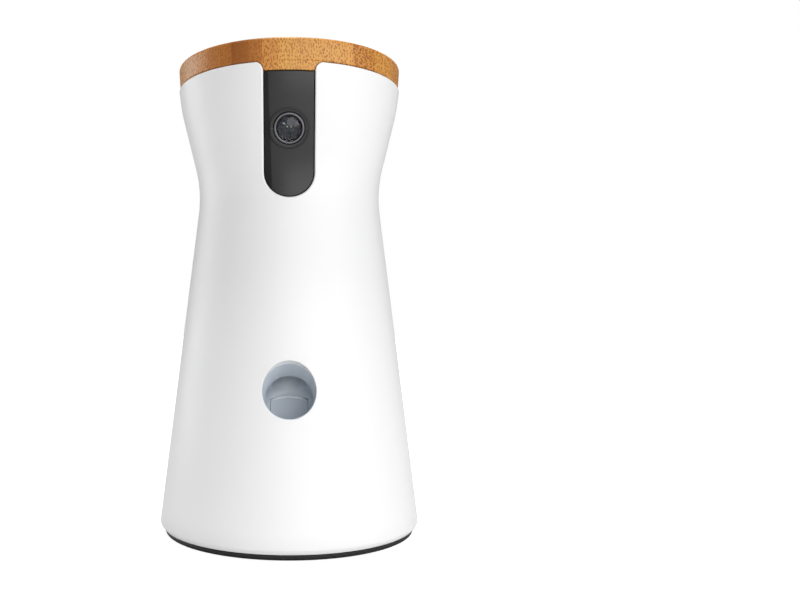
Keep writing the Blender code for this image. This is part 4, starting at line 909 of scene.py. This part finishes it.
def make_lens():
    """The bezel, the bright ring, the glass and the rings and element behind it."""
    sleeve = ring_radius + gap
    bezel = [(bezel_radius - inward, bezel_proud - below) for inward, below in (
        (0, 0.00015), (0.00006, 0.00004), (0.0002, 0), (0.00042, 0.00002), (0.00062, 0.00022))]
    bezel += [(sleeve + outward, bezel_proud - below) for outward, below in (
        (0.0004, 0.00026), (0.0001, 0.0003), (0, 0.0005))]
    bezel = [(bezel_radius, lens_root), *bezel, (sleeve, lens_root)]
    lens_lathe("lens_surround", bezel, "panel_black", ["lens_bezel"])
    inner = ring_radius - ring_wall
    turn = [(0, ring_proud * 0.55), (0.00008, ring_proud * 0.85), (0.00022, ring_proud)]
    ring = [(ring_radius, -0.0030), *[(ring_radius - inward, height) for inward, height in turn]]
    ring += [*[(inner + outward, height) for outward, height in turn[::-1]], (inner, -0.0030)]
    lens_lathe("lens_bright_ring", ring, "ring_metal", ["lens_ring"])
    for name, side in (("lens_tick_left", -1), ("lens_tick_right", 1)):
        low, high = side * (ring_radius + tick_inner), side * (ring_radius + tick_outer)
        tick = [(low, -tick_half), (high, -tick_half), (high, tick_half), (low, tick_half)]
        mesh = prism_mesh(name, tick, -0.0005, bezel_proud - 0.0001, lens_frame)
        add_mesh(name, mesh, "turret", "ring_metal")
    bottom = bezel_proud - glass_crown - glass_edge + gap
    glass = [*dome(glass_radius, glass_crown, bezel_proud), (glass_radius, bottom), (0.0, bottom)]
    lens_lathe("lens_dome", glass, "lens_glass", ["lens_glass"])
    start = bottom - gap
    back = start - barrel_depth
    barrel = [(ring_radius, barrel_root), (glass_radius, barrel_root), (glass_radius, start)]
    for step in range(barrel_steps):
        radius, depth = glass_radius - barrel_inset - barrel_ledge * step, start - barrel_drop * step
        barrel += [(radius + 0.0002, depth), (radius, depth - 0.00025),
                   (radius, depth - barrel_drop)]
    radius, depth = radius - barrel_ledge, depth - barrel_drop
    barrel += [(radius, depth), (radius, depth - barrel_drop), (0.0, depth - barrel_drop),
               (0.0, back), (ring_radius, back)]
    lens_lathe("lens_inner_rings", barrel, "soft_black", ["lens_barrel"])
    reach, top = glass_radius - element_inset, bottom - 0.0001
    foot = top - element_crown - element_edge
    element = [*dome(reach, element_crown, top, 12), (reach, foot), (0.0, foot)]
    lens_lathe("lens_inner_element", element, "lens_glass", look=lens_element)


# Lid and hopper


def lid_tongue(top, back):
    """The part of the plug that fills the top of the slot, in line with the panel."""
    line, outwards = slot_line()
    side = [here - out * gap for here, out in zip(line, outwards) if here.y > plug_bottom - overrun]
    right = [point for point in side if point.x > 0 and point.y > plug_bottom]
    left = [point for point in side if point.x < 0 and point.y > plug_bottom]
    outline = [(right[0].x, top), *right, (right[-1].x, plug_bottom),
               (left[0].x, plug_bottom), *left, (left[-1].x, top)]
    tongue = prism_mesh("tongue", outline, back, rim_radius + overrun, front_on)
    heights = [top + (plug_bottom - top) * step / 8 for step in range(9)]
    room = [(radius_at(panel_line, height), height) for height in heights]
    room = [(0, top + overrun), (room[0][0], top + overrun), *room,
            (room[-1][0], plug_bottom - overrun), (0, plug_bottom - overrun)]
    limit = lathe_mesh("tongue_room", room, 192, closed=False)
    return combined("lid_tongue", tongue, [(keep, limit)])


def make_lid():
    """The bamboo disc and its plug, with the seal in the plug's underside."""
    plug_radius = min(radius_at(inner_line, plug_bottom), radius_at(inner_line, shell_top)) - plug_play
    seal_outer, seal_inner = seal_high.x + gap, seal_high.x - seal_width - gap
    groove = seal_high.z + gap
    bottom = shell_top + gap
    corners = [(0, lid_top, 0, 1), (rim_radius, lid_top, lid_fillet, 8),
               (rim_radius - lid_taper, bottom, 0.0006, 5), (plug_radius, bottom, 0.0003, 3),
               (plug_radius, plug_bottom, plug_fillet, 4), (seal_outer, plug_bottom, 0.0002, 2),
               (seal_outer, groove, 0, 1), (seal_inner, groove, 0, 1),
               (seal_inner, plug_bottom, 0.0002, 2), (0, plug_bottom, 0, 1)]
    disc = lathe_mesh("lid_turned", rounded(corners), 192, closed=False)
    mesh = combined("lid_disc", disc, [(join, lid_tongue(bottom + gap, plug_radius - gap))])
    add_mesh("lid_disc", mesh, "lid", "bamboo", ["lid"])
    low, high = seal_low.z, seal_high.z
    middle = (low + high) / 2
    corners = [(seal_high.x - inward, height, fillet, steps) for inward, height, fillet, steps in (
        (0, high, 0.0002, 3), (0, middle, 0.0004, 3), (0.0005, low, 0.0004, 5),
        (0.0015, low, 0.0004, 5), (seal_width, middle, 0.0004, 3), (seal_width, high, 0.0002, 3))]
    mesh = lathe_mesh("lid_seal_lip", rounded(corners, closed=True))
    add_mesh("lid_seal_lip", mesh, "lid", "silicone", ["lid_seal"])


def make_hopper():
    """The hopper's funnel and well, with a soft turn between them."""
    flange, top, bottom = hopper_high.x, hopper_high.z, hopper_low.z
    flange_bottom = top - hopper_flange_thickness
    mouth = flange - hopper_flange_width
    outer, inner = hopper_bore + hopper_wall, hopper_bore
    sections = [(0, flange, top), (0, flange, flange_bottom), (0, mouth, flange_bottom),
                (hopper_offset, outer, hopper_shoulder_height), (hopper_offset, outer, bottom),
                (hopper_offset, inner, bottom),
                (hopper_offset, inner, hopper_shoulder_height - hopper_turn_low)]
    start = Vector((hopper_offset, inner, hopper_shoulder_height + hopper_wall / 2))
    end = Vector((0, mouth - hopper_wall, top))
    below, above = start - Vector((0, 0, hopper_turn_reach)), start.lerp(end, hopper_turn_share)
    for step in range(1, 8):
        share = step / 8
        sections.append(below.lerp(start, share).lerp(start.lerp(above, share), share))
    sections += [(end.x, end.y - 0.0003, end.z - 0.0004), tuple(end)]
    points, steps = [], 120
    for middle, radius, height in sections:
        points += [(x, y, height) for x, y in circle(radius, steps, (0, middle))]
    mesh = mesh_of("hopper_funnel", points, grid_faces(len(sections), steps, True, True))
    add_mesh("hopper_funnel", mesh, "turret", "inner_grey", ["hopper"])


def make_hopper_bottom():
    """The plate under the treat wheel, and the baffle over the drop."""
    low, high = floor_low.z - overrun, floor_high.z + overrun
    base = disc_mesh("floor_base", floor_high.x, floor_low.z, floor_high.z, steps=128)
    mesh = combined("hopper_plate", base, [
        (cut, disc_mesh("floor_drop", drop_radius, low, high, (0, drop_place), 64)),
        (cut, disc_mesh("floor_shaft", shaft_hole, low, high, (0, hopper_offset)))])
    add_mesh("hopper_plate", mesh, "turret", "inner_grey", ["hopper_floor"])
    radius = baffle_high.x
    edge = baffle_high.y - hopper_offset
    first = atan2(edge, sqrt(radius ** 2 - edge ** 2))
    points = []
    for step in range(61):
        angle = first - (pi + 2 * first) * step / 60
        points.append((radius * cos(angle), hopper_offset + radius * sin(angle)))
    mesh = prism_mesh("treat_baffle", points, baffle_low.z, baffle_high.z)
    ease(add_mesh("treat_baffle", mesh, "turret", "inner_grey", ["hopper_baffle"]), 0.0004, 3)


def make_wheel():
    """The treat wheel with its open pockets and eased edges, and its shaft."""
    low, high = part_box("treat_wheel")
    bottom, top = floor_high.z + 2 * gap, high.z
    far, near = high.x + overrun, wheel_pocket_circle - wheel_pocket
    pocket = rounded([(far, -wheel_pocket, 0, 1), (near, -wheel_pocket, wheel_pocket, 12),
                      (near, wheel_pocket, wheel_pocket, 12), (far, wheel_pocket, 0, 1)], closed=True)
    turns = [Matrix.Rotation(pi * number / 3 - pi / 2, 4, "Z") for number in range(6)]
    mesh = combined("treat_rotor", disc_mesh("wheel_base", high.x, bottom, top, steps=144), [
        (cut, prism_mesh("pocket", pocket, bottom - overrun, top + overrun, turn)) for turn in turns])
    mesh.transform(Matrix.Translation((0, hopper_offset, 0)))
    ease(add_mesh("treat_rotor", mesh, "treat_wheel", "acetal", ["treat_wheel"]), 0.0003)
    shaft = disc_mesh("treat_rotor_shaft", wheel_shaft, low.z, bottom, (0, hopper_offset), 40)
    add_mesh("treat_rotor_shaft", shaft, "treat_wheel", "acetal")


# Chute

crown_radius = (paddle_half_width ** 2 + paddle_crown ** 2) / (2 * paddle_crown)
crown_spread = 2 * atan2(paddle_crown, paddle_half_width)


def paddle_opening():
    """The outline round the paddle in its plane, which closes the tube's inner end."""
    top = paddle_length - (end_plate_middle - paddle_pivot).dot(paddle_up)
    half = paddle_half_width + paddle_side_gap
    reach = crown_radius + paddle_gap
    crown = []
    for step in range(25):
        angle = crown_spread * (1 - step / 12)
        crown.append((reach * sin(angle), top - crown_radius + reach * cos(angle)))
    low = -2 * mouth_radius
    return [(half, low), (half, crown[0][1]), *crown[1:-1], (-half, crown[-1][1]), (-half, low)]


def make_chute():
    """The tube behind the mouth, closed round the paddle, and the drop tube that joins it."""
    outer = mouth_radius + chute_wall
    start = mouth_place - mouth_run * (mouth_radius + overrun)
    reach = overrun + chute_wall
    length = (end_plate_middle - start).length + end_plate_half
    base = rod_mesh("chute_base", outer, start, mouth_run, length)
    drop_start = Vector((0, drop_place, floor_low.z - gap))
    drop_low = mouth_end - mouth_run * drop_back
    drop_run = (drop_low - drop_start).normalized()
    drop_outer = drop_radius + chute_wall
    top_room = drop_start - drop_run * drop_outer
    drop_end = drop_low - drop_run * drop_skirt
    drop = rod_mesh("drop_tube", drop_outer, top_room, drop_run, (drop_end - top_room).length)
    inside = rounded(offset_path(shell_corners, -shell_wall - gap))
    room_line = [(0, drop_start.z), (radius_at(inside, drop_start.z), drop_start.z)]
    room_line += [*[point for point in inside if point.y < drop_start.z], (0, inside[-1].y)]
    room = lathe_mesh("shell_room", room_line, closed=False)
    plate_front = (end_plate_middle - mouth_place).length - end_plate_half
    outside = -mouth_radius - overrun - reach
    bore_line = [(0, outside), (mouth_radius, outside), (mouth_radius, bore_lead),
                 (collar_radius, collar_depth),
                 (chamber_radius, collar_depth + chamber_step)]
    for step in range(11):
        angle = pi / 2 * step / 10
        bore_line.append((chamber_radius - chamber_fillet * (1 - cos(angle)),
                          plate_front - chamber_fillet * (1 - sin(angle))))
    bore_line.append((0, plate_front))
    bore = lathe_mesh("mouth_bore", bore_line, 120, along(mouth_place, mouth_run), closed=False)
    drop_bore = rod_mesh("drop_bore", drop_radius, top_room - drop_run * reach, drop_run,
                          (drop_low - top_room).length + reach)
    plane = frame_of(paddle_up, paddle_face, end_plate_middle)
    depth = 4 * end_plate_half
    opening = prism_mesh("paddle_opening", paddle_opening(), -depth, depth, plane)
    side = 2 * mouth_radius
    foot = [(-side, -side), (side, -side), (side, -end_plate_foot), (-side, -end_plate_foot)]
    below = prism_mesh("plate_foot", foot, -depth, depth, plane)
    mesh = combined("treat_channel", base, [(join, drop), (keep, room), (cut, bore),
                                            (cut, drop_bore), (cut, opening), (cut, below)])
    add_mesh("treat_channel", mesh, "turret", "chute_grey", ["treat_chute"])
    ease(nodes["launch_paddle"], 0.00012)
    make_paddle_lip()


def make_paddle_lip():
    """The raised bead along the paddle's crowned top edge."""
    steps, around = 40, 12
    reach = crown_radius - lip_sink
    points = []
    for step in range(steps + 1):
        angle = lip_share * crown_spread * (1 - 2 * step / steps)
        middle = (paddle_pivot + Vector((reach * sin(angle), 0, 0))
                  + paddle_up * (paddle_length - crown_radius + reach * cos(angle))
                  + paddle_face * (paddle_thickness / 2 + lip_sink))
        out = Vector((sin(angle), 0, 0)) + paddle_up * cos(angle)
        size = lip_radius * min(1.0, lip_taper + 4 * min(step, steps - step) / steps)
        for turn in range(around):
            bead = 2 * pi * turn / around
            points.append(middle + (out * cos(bead) + paddle_face * sin(bead)) * size)
    faces = grid_faces(steps + 1, around, False, True)
    faces += [list(range(around)), [steps * around + turn for turn in range(around)]]
    mesh = mesh_of("paddle_lip", points, faces)
    # The bead wears the lighter copy of the chute plastic, a painted highlight.
    add_mesh("paddle_lip", mesh, "launch_paddle", "chute_grey", look=lip_painted_highlight_look)


# Base


def cord_channel(name):
    """A cutter for the cord's channel out of the bay to the rear."""
    return block(name, (-channel_half_width, bay_back - bay_wall - overrun, -overrun),
                 (channel_half_width, bulge_radius + overrun, rim_high + overrun))


def screw_middles():
    """Where the cover's screws stand."""
    middles = []
    for number in (1, 2, 3):
        low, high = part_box(f"base_screw_{number}")
        middles.append(((low.x + high.x) / 2, (low.y + high.y) / 2))
    return middles


def make_tray():
    """The dark tray: the visible rim, the wall, the deck and the hub."""
    step_top = cover_low.z + gap
    wall = wall_outer - wall_thickness
    collar_top = table_high.z
    corners = [(rim_outer, rim_high, 0.0003, 3), (rim_outer - rim_taper, rim_low, 0.0006, 5),
               (light_high.x + gap, rim_low, 0.0003, 3), (light_high.x + gap, step_top, 0, 1),
               (wall, step_top, 0, 1), (wall, deck_low, 0.0005, 3), (hub_bore, deck_low, 0, 1),
               (hub_bore, tray_high.z, 0.0003, 2), (hub_neck, tray_high.z, 0.0003, 2),
               (hub_neck, collar_top, 0, 1), (hub_outer, collar_top, 0.0003, 2),
               (hub_outer, deck_high, 0, 1), (wall_outer, deck_high, 0.0003, 2),
               (wall_outer, rim_high, 0, 1)]
    tools = [(join, disc_mesh("tray_stop", stop_post, deck_high - overrun / 2, table_low.z - gap,
                              (0, stop_place), 32))]
    for middle in screw_middles():
        tools.append((join, disc_mesh("boss", screw_boss, cover_high.z + gap,
                                      deck_high - overrun / 2, middle, 32)))
        tools.append((cut, disc_mesh("boss_hole", screw_hole, cover_low.z, deck_low, middle, 24)))
    tools.append((cut, cord_channel("tray_channel")))
    turned = lathe_mesh("tray_turned", rounded(corners, closed=True), 168)
    add_mesh("base_dark_tray", combined("base_dark_tray", turned, tools), "base", "soft_black",
             ["base_tray"])


def make_cover():
    """The bottom cover with the walls of the power plug's bay."""
    outer = bay_half_width + bay_wall
    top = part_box("base_board")[0].z - gap
    under, over = cover_low.z - overrun, cover_high.z + overrun
    socket_low, socket_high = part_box("usb_socket")
    base = disc_mesh("cover_disc", cover_high.x, cover_low.z, cover_high.z, steps=144)
    tools = [(join, block("bay_walls", (-outer, bay_front - bay_wall, cover_low.z + overrun / 2),
                          (outer, bay_back + bay_wall, top))),
             (cut, block("bay_room", (-bay_half_width, bay_front, under),
                         (bay_half_width, bay_back, top + overrun))),
             (cut, block("socket_room", (socket_low.x - gap, socket_low.y, socket_low.z - gap),
                         (socket_high.x + gap, bay_front + overrun, top + overrun))),
             (cut, cord_channel("cover_channel")),
             (cut, disc_mesh("reset_hole", reset_hole, under, over, (0, reset_place)))]
    tools += [(cut, disc_mesh("screw_hole", screw_hole, under, over, middle, 24))
              for middle in screw_middles()]
    mesh = combined("base_cover_plate", base, tools)
    ease(add_mesh("base_cover_plate", mesh, "base", "soft_black", ["bottom_cover"]), 0.0002)


def make_base():
    """The tray, the cover, the foot, the light ring and the screws."""
    make_tray()
    make_cover()
    for name, low, high, inner, fillet, steps, slot, node in (
            ("base_foot_rubber", foot_low, foot_high, foot_inner, 0.0005, 5, "rubber_black",
             "foot_ring"),
            ("base_light_band", light_low, light_high, cover_high.x + gap, 0.0003, 4,
             "light_diffuser", "light_ring")):
        ring = [(high.x, high.z, 0, 1), (high.x, low.z, fillet, steps), (inner, low.z, fillet, steps),
                (inner, high.z, 0, 1)]
        turned = lathe_mesh("ring_turned", rounded(ring, closed=True))
        mesh = combined(name, turned, [(cut, cord_channel("ring_channel"))])
        add_mesh(name, mesh, "base", slot, [node])
    for number, (x, y) in enumerate(screw_middles(), 1):
        low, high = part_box(f"base_screw_{number}")
        head, head_top = (high.x - low.x) / 2, low.z + screw_head
        line = [(0, low.z, 0, 1), (head, low.z, 0.0004, 4), (head, head_top, 0.0002, 2),
                (screw_shank, head_top, 0, 1), (screw_shank, high.z, 0.0003, 2), (0, high.z, 0, 1)]
        place = Matrix.Translation((x, y, 0))
        turned = lathe_mesh("screw_turned", rounded(line), 48, place, closed=False)
        long, short = head * screw_recess_long, head * screw_recess_short
        depth = low.z + screw_head * screw_recess_depth
        tools = [(cut, block("recess", (x - across, y - deep, low.z - overrun),
                             (x + across, y + deep, depth)))
                 for across, deep in ((long, short), (short, long))]
        mesh = combined(f"cover_screw_{number}", turned, tools)
        add_mesh(f"cover_screw_{number}", mesh, "base", "steel", [f"base_screw_{number}"])
    ease(nodes["usb_socket"], 0.0003)
    ease(nodes["reset_button"], 0.0004, 3)


# Stage

room_strength = 0.195
key_width, key_height, key_power = 3.0, 1.1, 41.0
fill_width, fill_height, fill_power = 1.1, 1.1, 15.5
overhead_strength = 2.9
floor_tone = 0.55
floor_glow = 0.86
light_distance, light_aim = 2.0, Vector((0, 0, 0.11))
camera_place, camera_shift = (0, -0.39865, 0.09883), (0.1385, 0.0293)
camera_lens, camera_sensor = 36.896, 36.0
floor_reach = 6.0
white_light = (1.0, 1.0, 1.0, 1.0)


def make_stage():
    """A plain pale floor, soft studio light and the photograph's camera."""
    mesh = bpy.data.meshes.new("studio_floor")
    corners = [(x * floor_reach, y * floor_reach, 0) for x, y in ((-1, -1), (1, -1), (1, 1), (-1, 1))]
    mesh.from_pydata(corners, [], [(0, 1, 2, 3)])
    look = Look("studio_floor", (0.6, 0.6, 0.6), 0.8)
    paper = look.noise(look.place, 300.0)
    look.feed("Base Color", look.mix(paper, (floor_tone,) * 3, (floor_tone - 0.02,) * 3))
    look.set("Specular IOR Level", 0.0)
    look.set("Emission Color", white_light)
    seen = look.nodes.new("ShaderNodeLightPath").outputs["Is Camera Ray"]
    look.feed("Emission Strength", look.math("MULTIPLY", seen, floor_glow))
    mesh.materials.append(look.material)
    link(bpy.data.objects.new("studio_floor", mesh))
    world = bpy.data.worlds.new("studio")
    bpy.context.scene.world = world
    world.use_nodes = True
    tree = world.node_tree
    room = tree.nodes["Background"]
    room.inputs["Strength"].default_value = room_strength
    backdrop = tree.nodes.new("ShaderNodeBackground")
    for source in (room, backdrop):
        source.inputs["Color"].default_value = white_light
    seen = tree.nodes.new("ShaderNodeLightPath")
    choice = tree.nodes.new("ShaderNodeMixShader")
    tree.links.new(seen.outputs["Is Camera Ray"], choice.inputs["Fac"])
    tree.links.new(room.outputs[0], choice.inputs[1])
    tree.links.new(backdrop.outputs[0], choice.inputs[2])
    tree.links.new(choice.outputs[0], tree.nodes["World Output"].inputs["Surface"])
    add_light("key", 31.0, 13.0, key_width, key_height, key_power)
    add_light("left_edge", -112.0, 10.0, fill_width, fill_height, fill_power)
    overhead = bpy.data.lights.new("overhead", "SUN")
    overhead.energy = overhead_strength
    overhead.angle = radians(8.0)
    seat = link(bpy.data.objects.new("overhead", overhead))
    seat.location = (0, 0, light_distance)
    camera = bpy.data.cameras.new("photo_camera")
    camera.lens, camera.sensor_width = camera_lens, camera_sensor
    camera.shift_x, camera.shift_y = camera_shift
    camera.clip_start = 0.01
    seat = link(bpy.data.objects.new("photo_camera", camera))
    seat.location = camera_place
    seat.rotation_euler = (pi / 2, 0, 0)
    bpy.context.scene.camera = seat
    bpy.context.scene.view_settings.view_transform = "Standard"


def add_light(name, azimuth, elevation, width, height, power):
    """A soft light that faces the object's middle from an azimuth right of the front."""
    light = bpy.data.lights.new(name, "AREA")
    light.shape = "RECTANGLE"
    light.size = width
    light.size_y = height
    light.energy = power
    seat = link(bpy.data.objects.new(name, light))
    turn, rise = radians(azimuth), radians(elevation)
    away = Vector((sin(turn) * cos(rise), -cos(turn) * cos(rise), sin(rise)))
    seat.location = light_aim + away * light_distance
    seat.rotation_euler = (-away).to_track_quat("-Z", "Y").to_euler()


dress_solids()
make_shell()
make_panel()
make_lens()
make_lid()
make_hopper()
make_hopper_bottom()
make_wheel()
make_chute()
make_base()
make_stage()
